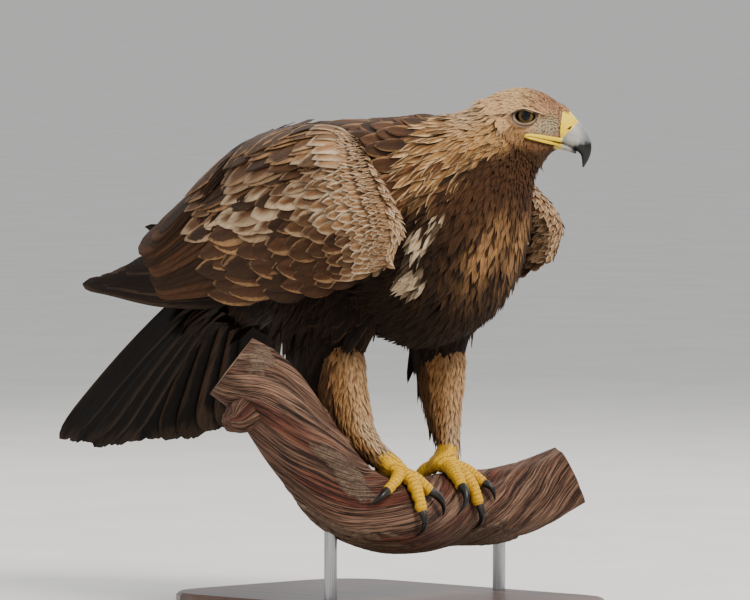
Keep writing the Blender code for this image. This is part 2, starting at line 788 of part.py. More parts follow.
def build_wing(side, materials):
    name = "wing_left" if side > 0 else "wing_right"
    grid = [[vector(x, y, z) * MM for x, y, z in row] for row in WING]
    if side > 0:
        lift = (0, 0, 0, 0.15, 0.6, 1.0)
        grid = [[p + vector(0.02, 0, LEFT_TIP_LIFT) * k for p in row] for row, k in zip(grid, lift)]
    surface = patch_of(grid)
    outward = math.copysign(1, normal_of(surface, 0.4, 0.5) @ vector(0, -1, 0.3))
    wing = wing_core(name, surface, outward)
    shoulder = ellipsoid("shoulder", (-0.010, -0.074, 0.284), (0.058, 0.027, 0.038), rings=6, around=10)
    apply_boolean(wing, "UNION", [shoulder] + wing_vanes(surface))
    if side > 0:
        wing.data.transform(Matrix.Diagonal((1, -1, 1, 1)))
        wing.data.flip_normals()
    apply_boolean(wing, "DIFFERENCE", [torso_cut(), neck_cut(), mantle_cut(), tail_room(side)])
    paint(wing, materials["wing"])
    return keep_largest(wing, 1.6)


# The fanned tail

TAIL_ROOT = vector(-0.222, 0.0, 0.246)
TAIL_PITCH, TAIL_YAW, TAIL_ROLL = math.radians(45), math.radians(8), math.radians(3)
TAIL_HALF_FAN = math.radians(22)


def tail_axes():
    """Backward, left and up axes of the tail's plane."""
    back = vector(
        -math.cos(TAIL_PITCH) * math.cos(TAIL_YAW), math.cos(TAIL_PITCH) * math.sin(TAIL_YAW),
        -math.sin(TAIL_PITCH),
    )
    left = unit(np.cross(vector(0, 0, 1), -back))
    up = np.cross(left, back) * -1
    if up[2] < 0:
        up = -up
    c, s = math.cos(TAIL_ROLL), math.sin(TAIL_ROLL)
    return back, left * c + up * s, up * c - left * s


def tail_surface(a, b):
    """a runs from the root to the tip, b from -1 at the bird's right to 1 at its left."""
    back, left, up = tail_axes()
    angle = b * TAIL_HALF_FAN
    reach = 0.012 + TAIL_LENGTH * a
    droop = -0.010 * b * b * a + 0.012 * math.sin(math.pi * min(max(a, 0), 1))
    root = TAIL_ROOT + left * (0.016 * b)
    return root + back * reach * math.cos(angle) + left * reach * math.sin(angle) + up * droop


def build_tail(materials):
    back, left, up = tail_axes()
    frame = Matrix([list(back), list(left), list(up)]).transposed()
    tail = ellipsoid("tail", TAIL_ROOT + back * 0.030 - up * 0.035, (0.080, 0.046, 0.040), frame, 7, 12)
    straight = lambda a, b: (1.0, 0.0)
    blades = []
    for k in range(6):
        for side in (1, -1):
            b = side * (0.09 + (0.80 if side > 0 else 0.91) * k / 5)
            length = TAIL_LENGTH * (1.0 - 0.05 * (k / 5) ** 2 + 0.008 * ((k * 7) % 3))
            blades.append(vane(
                "rectrix", tail_surface, (0.02, b), length * 0.98, TAIL_FEATHER_WIDTH - 0.001 * k,
                straight, sunk=0.0, lift=-1.55 * k * MM - (0.8 * MM if side < 0 else 0),
                rise=0.05, steps=4, ridge=True,
            ))
    for k in range(5):
        b = -0.6 + 0.3 * k
        blades.append(vane(
            "upper_covert", tail_surface, (0.03, b), 0.105 - 0.012 * abs(k - 2), 0.036, straight,
            sunk=0.0, lift=3.0 * MM, roll=0.09, steps=3,
        ))
        blades.append(vane(
            "under_covert", tail_surface, (0.03, b), 0.120 - 0.012 * abs(k - 2), 0.036, straight,
            sunk=44 * MM, lift=-15.0 * MM, roll=0.09, steps=3,
        ))
    apply_boolean(tail, "UNION", blades)
    apply_boolean(tail, "DIFFERENCE", [torso_cut()])
    paint(tail, materials["tail"])
    return keep_largest(tail, 1.6)


# Legs: middle line and half sizes (front to back, side to side) of each thigh and shank, from the top, in mm

ANKLES = {"right": (-13, -61, 23), "left": (-27, 55, 24)}
THIGHS = {
    "right": [(-34, -50, 238, 40, 26), (-58, -55, 205, 62, 32), (-82, -60, 168, 62, 33),
              (-90, -62, 138, 53, 30), (-97, -64, 104, 31, 21)],
    "left": [(-22, 50, 238, 40, 26), (-34, 54, 205, 50, 32), (-40, 57, 168, 44, 32),
             (-44, 59, 138, 34, 29), (-46, 60, 114, 25, 22)],
}
SHANKS = {
    "right": [(-66, -62, 142, 20, 15), (-63, -62, 122, 25.5, 19), (-62, -62, 104, 27.5, 21),
              (-60, -62, 78, 28.5, 21), (-51, -61, 53, 26.5, 19.5), (-37, -61, 36, 20.5, 16.5),
              (-13, -61, 23, 11.5, 11.5)],
    "left": [(-44, 60, 140, 21, 17), (-43, 60, 122, 26, 21), (-43, 60, 104, 28.5, 22),
             (-41, 59, 76, 24.5, 19), (-35, 57, 50, 18.5, 15), (-30, 56, 36, 13.5, 12.5),
             (-27, 55, 24, 11.5, 11.5)],
}


def leg_rings(rows, around, grow=0.0):
    """Rings round a limb whose rows hold a centre and two half sizes, in mm."""
    rings = []
    for i, row in enumerate(rows):
        point = vector(*row[:3])
        ahead = unit(vector(*rows[min(i + 1, len(rows) - 1)][:3]) - vector(*rows[max(i - 1, 0)][:3]))
        left = unit(vector(0, 1, 0) - ahead * ahead[1])
        front = np.cross(left, ahead)
        rings.append([
            (point + front * (row[3] + grow) * math.cos(q) + left * (row[4] + grow) * math.sin(q)) * MM
            for q in (2 * math.pi * j / around for j in range(around))
        ])
    return rings


def build_leg(side_name, materials):
    rows, shank_rows = THIGHS[side_name], SHANKS[side_name]
    thigh = tube("thigh_" + side_name, leg_rings(rows, 14))
    quarters = leg_rings(rows, 4)
    centres = [np.mean(ring, axis=0) for ring in quarters]
    fronts = [(ring[0] - ring[2]) / 2 for ring in quarters]
    lefts = [(ring[1] - ring[3]) / 2 for ring in quarters]

    def skin(a, b):
        angle = 2 * math.pi * b
        return along(centres, a) + along(fronts, a) * math.cos(angle) - along(lefts, a) * math.sin(angle)

    locks = []
    for k in range(8):
        locks.append(vane(
            "trouser", skin, (0.56 + 0.03 * (k % 2), (k + 0.5) / 8), 0.060 * RANDOM.uniform(0.9, 1.1), 0.032,
            lambda a, b: (1.0, 0.0), sunk=3 * MM, lift=2.2 * MM, steps=2, roll=0.13, outline=hackle_tip,
            rise=0.6,
        ))
    apply_boolean(thigh, "UNION", locks)
    grown = tube("shank_cut", leg_rings(shank_rows, 12, 0.7))
    apply_boolean(thigh, "DIFFERENCE", [torso_cut(), grown])
    shank = tube("shank_" + side_name, leg_rings(shank_rows, 12))
    paint(thigh, materials["dark"])
    paint(shank, materials["tan"])
    return [keep_largest(thigh), keep_largest(shank)]


# The branch: its middle line, in mm along the picture's right, away from the camera, and up

BRANCH = [
    (-198, -66, 112), (-162, -66, 84), (-124, -64, 30), (-88, -54, -16), (-46, -38, -38),
    (-12, 8, -42), (20, 57, -38), (62, 84, -36), (104, 98, -26), (142, 106, -8),
]
BRANCH_SIZE = [0.90, 0.98, 1.04, 1.06, 1.0, 1.0, 1.0, 0.98, 0.93, 0.86]
VIEW_YAW = math.radians(45)


def branch_centre(s):
    right, deep, height = along(BRANCH, s)
    c, t = math.cos(VIEW_YAW), math.sin(VIEW_YAW)
    return vector(c * right - t * deep, t * right + c * deep, height) * MM


def branch_axes(s):
    """The branch's direction, its top, and the side that the toes hang over."""
    ahead = unit(branch_centre(s + 0.01) - branch_centre(s - 0.01))
    top = unit(vector(0, 0, 1) - ahead * ahead[2])
    front = np.cross(ahead, top)
    return ahead, top, front


def branch_radius(s, angle):
    """The radius of the branch: it has shallow twisted flutes, which fade out under the feet."""
    size = BRANCH_RADIUS * along([[x] for x in BRANCH_SIZE], s)[0]
    grip = math.exp(-((s - 0.56) / 0.17) ** 2)
    flute = 0.045 * math.cos(4 * angle + 9 * s) + 0.03 * math.cos(7 * angle - 12 * s + 1)
    return size * (1 + flute * (1 - grip))


def branch_point(s, angle, height=0.0):
    """A point height above the bark: angle 0 is the top, and it grows towards the toes' side."""
    ahead, top, front = branch_axes(s)
    reach = branch_radius(s, angle) + height
    return branch_centre(s) + (top * math.cos(angle) + front * math.sin(angle)) * reach


def branch_solid(name, rings, around, grow=0.0):
    made = []
    for i in range(rings + 1):
        s = i / rings
        made.append([branch_point(s, 2 * math.pi * j / around, grow) for j in range(around)])
    return tube(name, made)


def build_branch(materials):
    branch = branch_solid("perch_branch", 20, 14)
    spur = round_tube(
        "spur", [branch_centre(0.11), branch_point(0.10, 2.6, 0.006), branch_point(0.08, 2.5, 0.022)],
        [0.026, 0.015, 0.006], 7,
    )
    apply_boolean(branch, "UNION", [spur])
    paint(branch, materials["bark"])
    return keep_largest(branch)


# Feet: for each toe its name, spread from straight ahead in degrees, toe length, claw length and radius, mm

TOES = {
    "right": [("middle", 6, 62, 33, 7.6), ("inner", 30, 46, 36, 7.8), ("outer", -27, 52, 28, 6.8),
              ("hind", 172, 38, 44, 8.0)],
    "left": [("middle", 2, 62, 33, 7.6), ("inner", 30, 46, 36, 7.8), ("outer", -36, 50, 28, 6.8),
             ("hind", 176, 38, 44, 8.0)],
}
FEET = {"right": 0.447, "left": 0.655}


def toe_line(side_name, spread, height, start, end, count):
    """Points height above the bark on a line that leaves the foot at a spread from straight ahead."""
    s0 = FEET[side_name]
    span = np.linalg.norm(branch_centre(s0 + 0.01) - branch_centre(s0 - 0.01)) / 0.02
    inward = 1 if side_name == "right" else -1
    turn = math.radians(spread) * inward
    points = []
    for i in range(count):
        q = start + (end - start) * i / (count - 1)
        tall = height(i / (count - 1))
        ahead = q * math.cos(turn)
        aside = q * math.sin(turn)
        angle = ahead / (BRANCH_RADIUS + 0.006)
        points.append(branch_point(s0 + aside / span, angle, tall))
    return points


def build_foot(side_name, materials):
    s0 = FEET[side_name]
    made, toes = [], []
    ankle = vector(*ANKLES[side_name]) * MM
    palm_centre = branch_point(s0, 0.0, 0.0105)
    frame = Matrix([list(axis) for axis in branch_axes(s0)]).transposed()
    palm = ellipsoid("foot_" + side_name, palm_centre, (0.0155, 0.0098, 0.0150), frame, 6, 10)
    instep = round_tube("instep", [palm_centre, ankle * 0.5 + palm_centre * 0.5, ankle - vector(0, 0, 0.0006)],
                        [0.0125, 0.0115, 0.0105], 8)
    toes.append(instep)
    for toe, spread, length, claw, radius in TOES[side_name]:
        thick = radius * MM
        line = toe_line(side_name, spread, lambda t: thick * (1 - 0.22 * t) + 0.9 * MM, 0.004,
                        length * MM, 6)
        sizes = [thick * (1 - 0.24 * i / 5) * (1 + 0.05 * math.cos(i * 2.4)) for i in range(6)]
        sizes[-1] *= 0.72
        toes.append(round_tube("toe", line, sizes, 6))
        last = thick * 0.78
        def claw_height(t):
            return (last + 0.6 * MM) * (1 - t) ** 0.8 + 5.0 * MM * math.sin(math.pi * t) + 1.1 * MM
        claw_line = toe_line(side_name, spread, claw_height, (length - 1.5) * MM,
                             (length + claw * 0.82) * MM, 6)
        claw_sizes = [(0.0052 if claw > 35 else 0.0044) * (1 - 0.93 * (i / 5) ** 1.15) for i in range(6)]
        made.append(round_tube("claw_%s_%s" % (side_name, toe), claw_line, claw_sizes, 7))
        cutter = round_tube("claw_cut", claw_line, [r + 0.45 * MM for r in claw_sizes], 7)
        made.append(cutter)
    collar = leg_rings(SHANKS[side_name], 12, 0.45)
    down = unit(np.mean(collar[-1], axis=0) - np.mean(collar[-2], axis=0))
    collar.append([p + down * GAP for p in collar[-1]])
    made.append(tube("claw_cut_shank", collar))
    made.append(branch_solid("claw_cut_bark", 20, 14, 0.3 * MM))
    foot = apply_boolean(palm, "UNION", toes)
    cutters = [o for o in made if o.name.startswith("claw_cut")]
    claws = [o for o in made if o not in cutters]
    apply_boolean(foot, "DIFFERENCE", cutters)
    paint(foot, materials["yellow"])
    for claw in claws:
        paint(claw, materials["claw"])
    return [keep_largest(foot)] + claws


# Stand

def build_stand(materials):
    base = bmesh.new()
    rim = []
    for k in range(4):
        turn = math.pi / 2 * k
        cx = math.copysign(BASE_LENGTH / 2 - BASE_CORNER, math.cos(turn + 0.7))
        cy = math.copysign(BASE_WIDTH / 2 - BASE_CORNER, math.sin(turn + 0.7))
        for j in range(5):
            angle = turn + math.pi / 2 * j / 4
            rim.append(base.verts.new((
                cx + BASE_CORNER * math.cos(angle), cy + BASE_CORNER * math.sin(angle), 0.0
            )))
    face = base.faces.new(rim)
    top = bmesh.ops.extrude_face_region(base, geom=[face])["geom"]
    raised = [v for v in top if isinstance(v, bmesh.types.BMVert)]
    bmesh.ops.translate(base, verts=raised, vec=(0, 0, BASE_THICKNESS))
    bmesh.ops.recalc_face_normals(base, faces=base.faces)
    mesh = bpy.data.meshes.new("stand_base")
    base.to_mesh(mesh)
    base.free()
    plate = bpy.data.objects.new("stand_base", mesh)
    bpy.context.scene.collection.objects.link(plate)
    bevel = plate.modifiers.new("Bevel", "BEVEL")
    bevel.width = BASE_EDGE
    bevel.segments = 1
    bevel.limit_method = "ANGLE"
    bevel.angle_limit = math.radians(60)
    paint(plate, materials["stand"])
    rods = []
    stance = vector(*STANCE_SHIFT, SOLE_HEIGHT)
    for name, s in (("stand_rod_front", 0.30), ("stand_rod_back", 0.80)):
        place = branch_centre(s) + stance
        bottom = vector(place[0], place[1], BASE_THICKNESS + GAP)
        rod = tube(name, [
            [vector(bottom[0] + ROD_RADIUS * math.cos(q), bottom[1] + ROD_RADIUS * math.sin(q), z)
             for q in (2 * math.pi * j / 20 for j in range(20))]
            for z in (bottom[2], place[2])
        ])
        cutter = branch_solid("branch_cut", 20, 14, GAP * 1.5)
        cutter.data.transform(Matrix.Translation(Vector(stance)))
        apply_boolean(rod, "DIFFERENCE", [cutter])
        paint(rod, materials["steel"])
        rods.append(keep_largest(rod))
    return [plate] + rods


def main():
    clear_scene()
    materials = {
        "dark": material("dark_plumage", DARK_BROWN),
        "wing": material("wing_plumage", WING_BROWN),
        "gold": material("golden_plumage", GOLD_BROWN),
        "tan": material("leg_plumage", LEG_TAN),
        "tail": material("flight_feathers", TAIL_BLACK, 0.6),
        "yellow": material("yellow_skin", TOE_YELLOW, 0.5),
        "horn": material("bill_horn", HORN_GREY, 0.3),
        "claw": material("claw_horn", CLAW_BLACK, 0.25),
        "eye": material("eye", EYE_BROWN, 0.1),
        "bark": material("weathered_wood", BARK_GREY, 0.9),
        "stand": material("stand_wood", STAND_WOOD, 0.4),
        "steel": material("rod_steel", ROD_STEEL, 0.35, 1.0),
    }
    bird = [build_torso(materials), build_neck(materials), build_head(materials)]
    bird += build_bill(materials) + build_eyes(materials)
    bird += [build_wing(side, materials) for side in (-1, 1)]
    bird.append(build_tail(materials))
    for side_name in ("right", "left"):
        bird += build_leg(side_name, materials) + build_foot(side_name, materials)
    bird.append(build_branch(materials))
    stance = bpy.data.objects.new("stance", None)
    bpy.context.scene.collection.objects.link(stance)
    stance.location = (*STANCE_SHIFT, SOLE_HEIGHT)
    for obj in bird:
        obj.parent = stance
    build_stand(materials)


if __name__ == "__main__":
    main()
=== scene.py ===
"""A life-size golden eagle in its standing pose on a cut length of branch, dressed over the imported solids."""
import math

import bmesh
import bpy
import numpy as np
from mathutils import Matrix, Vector
from mathutils.kdtree import KDTree


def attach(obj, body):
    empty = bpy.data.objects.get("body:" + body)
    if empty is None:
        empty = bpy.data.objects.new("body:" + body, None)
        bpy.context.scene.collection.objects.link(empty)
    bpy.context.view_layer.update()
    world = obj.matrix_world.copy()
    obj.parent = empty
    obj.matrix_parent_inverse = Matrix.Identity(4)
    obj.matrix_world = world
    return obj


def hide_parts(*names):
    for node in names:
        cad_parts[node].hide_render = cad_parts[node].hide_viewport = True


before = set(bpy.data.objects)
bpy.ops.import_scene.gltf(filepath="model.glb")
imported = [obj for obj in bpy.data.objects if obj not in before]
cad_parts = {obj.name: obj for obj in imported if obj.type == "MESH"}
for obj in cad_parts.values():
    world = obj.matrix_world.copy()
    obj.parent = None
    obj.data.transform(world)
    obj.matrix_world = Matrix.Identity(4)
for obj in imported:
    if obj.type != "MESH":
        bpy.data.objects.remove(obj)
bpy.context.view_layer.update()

bl_info = {
    "name": "Golden eagle",
    "version": (1, 0, 0),
    "blender": (4, 5, 0),
    "location": "3D View > Sidebar > Eagle",
    "description": "Skin, feathers, bill, feet, branch and studio of a standing golden eagle",
    "category": "Object",
}

MM = 0.001
STANCE = np.array((0.045, 0.012, 0.140))


# Numbers and colours

def tone(code):
    """A colour from its usual six-digit code, as linear light."""
    parts = [int(code[i:i + 2], 16) / 255 for i in (0, 2, 4)]
    return np.array([c / 12.92 if c <= 0.04045 else ((c + 0.055) / 1.055) ** 2.4 for c in parts])


def unit(v):
    v = np.asarray(v, float)
    return v / np.maximum(np.linalg.norm(v, axis=-1, keepdims=True), 1e-12)


def smooth(t):
    t = np.clip(t, 0.0, 1.0)
    return t * t * (3 - 2 * t)


def mix(p, q, t):
    t = np.asarray(t, float)
    return np.asarray(p) * (1 - t[..., None]) + np.asarray(q) * t[..., None]


def side_of(turn):
    """How far round from the back a place is: 0 on the back, 1 on the belly."""
    return np.abs(((turn + 0.5) % 1.0) - 0.5) * 2


def spline(rows, t):
    """A smooth curve through evenly spaced rows, for any array of t, carried straight on past its ends."""
    rows = np.asarray(rows, float)
    t = np.asarray(t, float)
    last = len(rows) - 1
    inside = np.clip(t, 0, 1)
    i = np.minimum((inside * last).astype(int), last - 1)
    f = inside * last - i
    padded = np.concatenate([[2 * rows[0] - rows[1]], rows, [2 * rows[-1] - rows[-2]]])
    p0, p1, p2, p3 = padded[i], padded[i + 1], padded[i + 2], padded[i + 3]
    shape = t.shape + (1,) * (rows.ndim - 1)
    f, over = f.reshape(shape), ((t - inside) * last).reshape(shape)
    m1, m2 = (p2 - p0) / 2, (p3 - p1) / 2
    value = (2 * f ** 3 - 3 * f ** 2 + 1) * p1 + (f ** 3 - 2 * f ** 2 + f) * m1
    value = value + (3 * f ** 2 - 2 * f ** 3) * p2 + (f ** 3 - f ** 2) * m2
    return value + over * np.where(over < 0, m1, m2)


# Charts: the bird's outer surface in parts, each a grid over a and b with a place on the unwrap

class Chart:
    """A grid of points with its slopes and normals, read at any place."""

    def __init__(self, points, wrap, rect):
        self.p, self.wrap, self.rect = np.asarray(points), wrap, rect
        da = np.gradient(self.p, axis=0)
        if wrap:
            db = (np.roll(self.p, -1, 1) - np.roll(self.p, 1, 1)) / 2
        else:
            db = np.gradient(self.p, axis=1)
        rows, columns = self.p.shape[:2]
        self.da = da * (rows - 1)
        self.db = db * (columns if wrap else columns - 1)
        self.n = unit(np.cross(da, db))

    def mixed(self, field, a, b):
        a, b = np.asarray(a, float), np.asarray(b, float)
        rows, columns = field.shape[:2]
        x = a * (rows - 1)
        i = np.clip(np.floor(x).astype(int), 0, rows - 2)
        f = (x - i)[..., None]
        if self.wrap:
            y = np.mod(b, 1.0) * columns
            j = np.floor(y).astype(int) % columns
            k = (j + 1) % columns
            g = (y - np.floor(y))[..., None]
        else:
            y = b * (columns - 1)
            j = np.clip(np.floor(y).astype(int), 0, columns - 2)
            k = j + 1
            g = (y - j)[..., None]
        top = field[i, j] * (1 - g) + field[i, k] * g
        low = field[i + 1, j] * (1 - g) + field[i + 1, k] * g
        return top * (1 - f) + low * f

    def at(self, a, b):
        return self.mixed(self.p, a, b)

    def normal(self, a, b):
        return unit(self.mixed(self.n, a, b))

    def slopes(self, a, b):
        return self.mixed(self.da, a, b), self.mixed(self.db, a, b)

    def unwrap(self, a, b):
        u0, v0, wide, tall = self.rect
        b = np.mod(b, 1.0) if self.wrap else np.clip(b, 0, 1)
        return np.stack([u0 + wide * b, v0 + tall * np.clip(a, 0, 1)], -1)


def grid_of(rows, columns, wrap=False):
    a, b = np.meshgrid(np.linspace(0, 1, rows), np.linspace(0, 1, columns, endpoint=not wrap), indexing="ij")
    return a, b


# Trunk: centre, pitch and yaw in degrees, half width and half height of its sections from tail to head, mm
BODY = [
    (-262, 0, 256, 26, 0, 28, 27), (-232, 0, 262, 20, 0, 46, 50), (-188, 0, 261, 14, 0, 68, 77),
    (-130, 0, 253, 8, 0, 86, 95), (-65, 0, 245, 3, 0, 97, 107), (-8, 0, 242, 1, 0, 101, 115),
    (38, 0, 256, 10, 0, 95, 106), (62, 3, 287, 24, 4, 78, 82), (76, 10, 314, 36, 13, 58, 62),
    (84, 17, 331, 41, 26, 45, 51), (91.5, 24, 343.5, 41, 38, 37, 44.5),
]
# Head: top and bottom points of each section in profile and its half width, in its own frame, mm
HEAD = [
    (-30, 24.4, 16.4, -46.5, 36.5), (-16, 28.6, 17.8, -44.6, 35.0), (-4, 29.6, 19.2, -42.8, 32.8),
    (6, 28.4, 21.0, -40.4, 30.4), (15, 25.4, 23.6, -37.4, 27.2), (23, 21.6, 26.4, -35.0, 23.6),
    (31, 16.4, 29.2, -33.4, 19.6), (38.2, 11.2, 31.6, -32.4, 17.0), (44.4, 5.4, 33.4, -31.8, 14.8),
]
CERE = [(38.0, 11.4, 35.2, -24.4, 16.8), (42.4, 7.3, 36.0, -25.0, 15.5), (46.6, 2.7, 37.0, -25.7, 14.2),
        (50.6, -2.0, 38, -26.4, 12.8)]
BILL = [
    (50.6, -2.0, 38, -26.4, 12.8), (55.0, -6.6, 41.5, -28.2, 11.6), (59.4, -12.2, 45.2, -30.2, 10.2),
    (63.2, -19.0, 49.0, -32.4, 8.4), (65.4, -26.5, 52.6, -34.8, 6.5), (65.2, -34.0, 55.0, -37.6, 4.7),
    (62.8, -41.6, 56.1, -42.2, 2.8), (58.1, -49.4, 56.5, -49.6, 0.9),
]
LOWER_BILL = [
    (19.0, -23.6, 21.0, -31.4, 12.6), (27.0, -24.0, 28.0, -32.0, 11.9), (35.0, -24.6, 35.4, -32.6, 10.6),
    (42.5, -26.0, 42.4, -34.2, 8.4), (51.0, -31.5, 50.0, -36.4, 4.6),
]
EYE, EYE_RADIUS = (3.4, 16.2, 2.8), 11.2
UPPER_LIP = [(2.6, -17.7, 1.2), (7, -16.9, 1.5), (13, -17.8, 1.8), (22, -19.4, 2.0), (31, -21.3, 2.2),
             (38, -22.8, 2.2)]
LOWER_LIP = [(2.6, -17.9, 1.2), (7, -19.9, 1.1), (13, -21.4, 1.3), (22, -23.8, 1.5), (31, -26.1, 1.6),
             (37, -27.9, 1.6)]
BROW = [(-9, 11.0, 2.0, -1.2), (-3, 12.4, 3.0, -0.4), (5, 11.8, 3.6, 0.6), (12.5, 9.2, 3.6, 1.2),
        (20, 6.2, 3.0, 0.6), (27, 4.6, 1.6, -1.0)]
HEAD_CENTRE, HEAD_YAW = np.array((0.102, 0.032, 0.359)), math.radians(38)
WING = [
    [(-38, -60, 340), (2, -88, 322), (46, -109, 288), (74, -121, 250), (60, -121, 214)],
    [(-95, -40, 353), (-60, -88, 337), (-24, -121, 293), (0, -132, 241), (-6, -124, 191)],
    [(-165, -22, 355), (-140, -78, 334), (-115, -114, 289), (-96, -124, 236), (-86, -117, 180)],
    [(-245, -14, 337), (-229, -58, 315), (-212, -90, 275), (-200, -102, 228), (-190, -98, 173)],
    [(-328, -14, 288), (-325, -38, 268), (-325, -60, 240), (-325, -72, 208), (-325, -72, 173)],
    [(-405, -14, 240), (-425, -24, 224), (-445, -32, 209), (-462, -38, 193), (-476, -40, 177)],
]
LEFT_TIP_LIFT = 0.057
WING_GRID = (140, 80)
# Middle of the wings between back and belly, which lies inside both
WING_MIDDLE = STANCE + np.array((-0.1, 0, 0.2))
TAIL_ROOT, TAIL_LENGTH = np.array((-0.222, 0.0, 0.246)), 0.305
TAIL_PITCH, TAIL_YAW, TAIL_ROLL = math.radians(45), math.radians(8), math.radians(3)
TAIL_HALF_FAN = math.radians(22)
THIGHS = {
    "right": [(-34, -50, 238, 40, 26), (-58, -55, 205, 62, 32), (-82, -60, 168, 62, 33),
              (-90, -62, 138, 53, 30), (-97, -64, 104, 31, 21)],
    "left": [(-22, 50, 238, 40, 26), (-34, 54, 205, 50, 32), (-40, 57, 168, 44, 32),
             (-44, 59, 138, 34, 29), (-46, 60, 114, 25, 22)],
}
SHANKS = {
    "right": [(-66, -62, 142, 20, 15), (-63, -62, 122, 25.5, 19), (-62, -62, 104, 27.5, 21),
              (-60, -62, 78, 28.5, 21), (-51, -61, 53, 26.5, 19.5), (-37, -61, 36, 20.5, 16.5),
              (-13, -61, 23, 11.5, 11.5)],
    "left": [(-44, 60, 140, 21, 17), (-43, 60, 122, 26, 21), (-43, 60, 104, 28.5, 22),
             (-41, 59, 76, 24.5, 19), (-35, 57, 50, 18.5, 15), (-30, 56, 36, 13.5, 12.5),
             (-27, 55, 24, 11.5, 11.5)],
}


def trunk_point(s, turn, grow=0.0):
    """The trunk's surface: s from tail to head, and turn from the back (0) over the right side (a quarter)
    to the belly (a half)."""
    s, turn = np.broadcast_arrays(np.asarray(s, float), np.asarray(turn, float))
    x, y, z, pitch, yaw, wide, tall = np.moveaxis(spline(BODY, s), -1, 0)
    p, w = np.radians(pitch), np.radians(yaw)
    ahead = np.stack([np.cos(p) * np.cos(w), np.cos(p) * np.sin(w), np.sin(p)], -1)
    left = np.stack([-np.sin(w), np.cos(w), 0 * w], -1)
    up = np.cross(ahead, left)
    angle = 2 * np.pi * turn
    across = -np.sin(angle) * (1 + 0.07 * np.cos(angle))
    centre = np.stack([x, y, z], -1) * MM
    return (STANCE + centre + left * (across * (wide * MM + grow))[..., None]
            + up * (np.cos(angle) * (tall * MM + grow))[..., None])


def head_place(x, y, z):
    """A point of the head's frame, in mm."""
    c, s = math.cos(HEAD_YAW), math.sin(HEAD_YAW)
    x, y, z = np.broadcast_arrays(np.asarray(x, float), np.asarray(y, float), np.asarray(z, float))
    return STANCE + HEAD_CENTRE + np.stack([c * x - s * y, s * x + c * y, z], -1) * MM


def to_head(points):
    """Points in the head's frame, in mm."""
    c, s = math.cos(HEAD_YAW), math.sin(HEAD_YAW)
    q = (np.asarray(points) - STANCE - HEAD_CENTRE) / MM
    return np.stack([c * q[..., 0] + s * q[..., 1], -s * q[..., 0] + c * q[..., 1], q[..., 2]], -1)


def profile_point(sections, t, turn, power=0.9, narrow=0.25, grow=0.0):
    """A point of a lofted profile: t along it, turn 0 on top."""
    t, turn = np.broadcast_arrays(np.asarray(t, float), np.asarray(turn, float))
    tx, tz, lx, lz, wide = np.moveaxis(spline(sections, t), -1, 0)
    half = np.hypot(tx - lx, tz - lz) / 2
    stretch = (half + grow) / half
    rise, sine = np.cos(2 * np.pi * turn), np.sin(2 * np.pi * turn)
    out = -np.sign(sine) * np.abs(sine) ** power * (wide + grow) * (1 - narrow * rise)
    return head_place((tx + lx) / 2 + (tx - lx) / 2 * rise * stretch, out,
                      (tz + lz) / 2 + (tz - lz) / 2 * rise * stretch)


def head_point(a, turn):
    """The head's surface from the back (a = 0) to the bill."""
    a = np.asarray(a, float)
    front = profile_point(HEAD, np.clip((a - 0.1) / 0.9, 0, 1), turn, 0.92, 0.10)
    back = trunk_point(1.0, turn)
    return mix(back, front, smooth(a / 0.1))


def head_side(x, z):
    """Half the head's width at a place in its profile, in mm."""
    t = np.linspace(0, 1, 161)
    tx, tz, lx, lz, wide = np.moveaxis(spline(HEAD, t), -1, 0)
    rise = ((z - tz) * (tz - lz) + (x - tx) * (tx - lx)) / ((tz - lz) ** 2 + (tx - lx) ** 2) * 2 + 1
    rise = np.clip(rise, -0.98, 0.98)
    miss = np.hypot((tx + lx) / 2 + (tx - lx) / 2 * rise - x, (tz + lz) / 2 + (tz - lz) / 2 * rise - z)
    k = int(np.argmin(miss))
    return (1 - rise[k] ** 2) ** 0.46 * wide[k] * (1 - 0.1 * rise[k])


def wing_grid(side):
    """The folded wing's outer face: a from its front edge to the tips, b from the back to its lower edge."""
    rows = np.array(WING, float) * MM
    if side > 0:
        lift = np.array((0, 0, 0, 0.15, 0.6, 1.0))[:, None, None]
        rows = rows + np.array((0.02, 0, LEFT_TIP_LIFT)) * lift
    down = np.moveaxis(spline(np.moveaxis(rows, 1, 0), np.linspace(0, 1, WING_GRID[1])), 0, 1)
    grid = spline(down, np.linspace(0, 1, WING_GRID[0]))
    return STANCE + grid * np.array((1, -1 if side > 0 else 1, 1))


def tail_axes():
    back = np.array((-math.cos(TAIL_PITCH) * math.cos(TAIL_YAW), math.cos(TAIL_PITCH) * math.sin(TAIL_YAW),
                     -math.sin(TAIL_PITCH)))
    left = unit(np.cross((0, 0, 1), -back))
    up = -np.cross(left, back)
    up = -up if up[2] < 0 else up
    c, s = math.cos(TAIL_ROLL), math.sin(TAIL_ROLL)
    return back, left * c + up * s, up * c - left * s


def tail_point(a, b):
    """The fan of the tail: a from its root to its end, b from 0 at the bird's right to 1 at its left."""
    a, b = np.broadcast_arrays(np.asarray(a, float), 2 * np.asarray(b, float) - 1)
    back, left, up = tail_axes()
    angle = b * TAIL_HALF_FAN
    reach = (0.012 + TAIL_LENGTH * a)[..., None]
    droop = (-0.010 * b * b * a + 0.012 * np.sin(np.pi * np.clip(a, 0, 1)))[..., None]
    root = STANCE + TAIL_ROOT + left * (0.016 * b)[..., None]
    return root + reach * (back * np.cos(angle)[..., None] + left * np.sin(angle)[..., None]) + up * droop


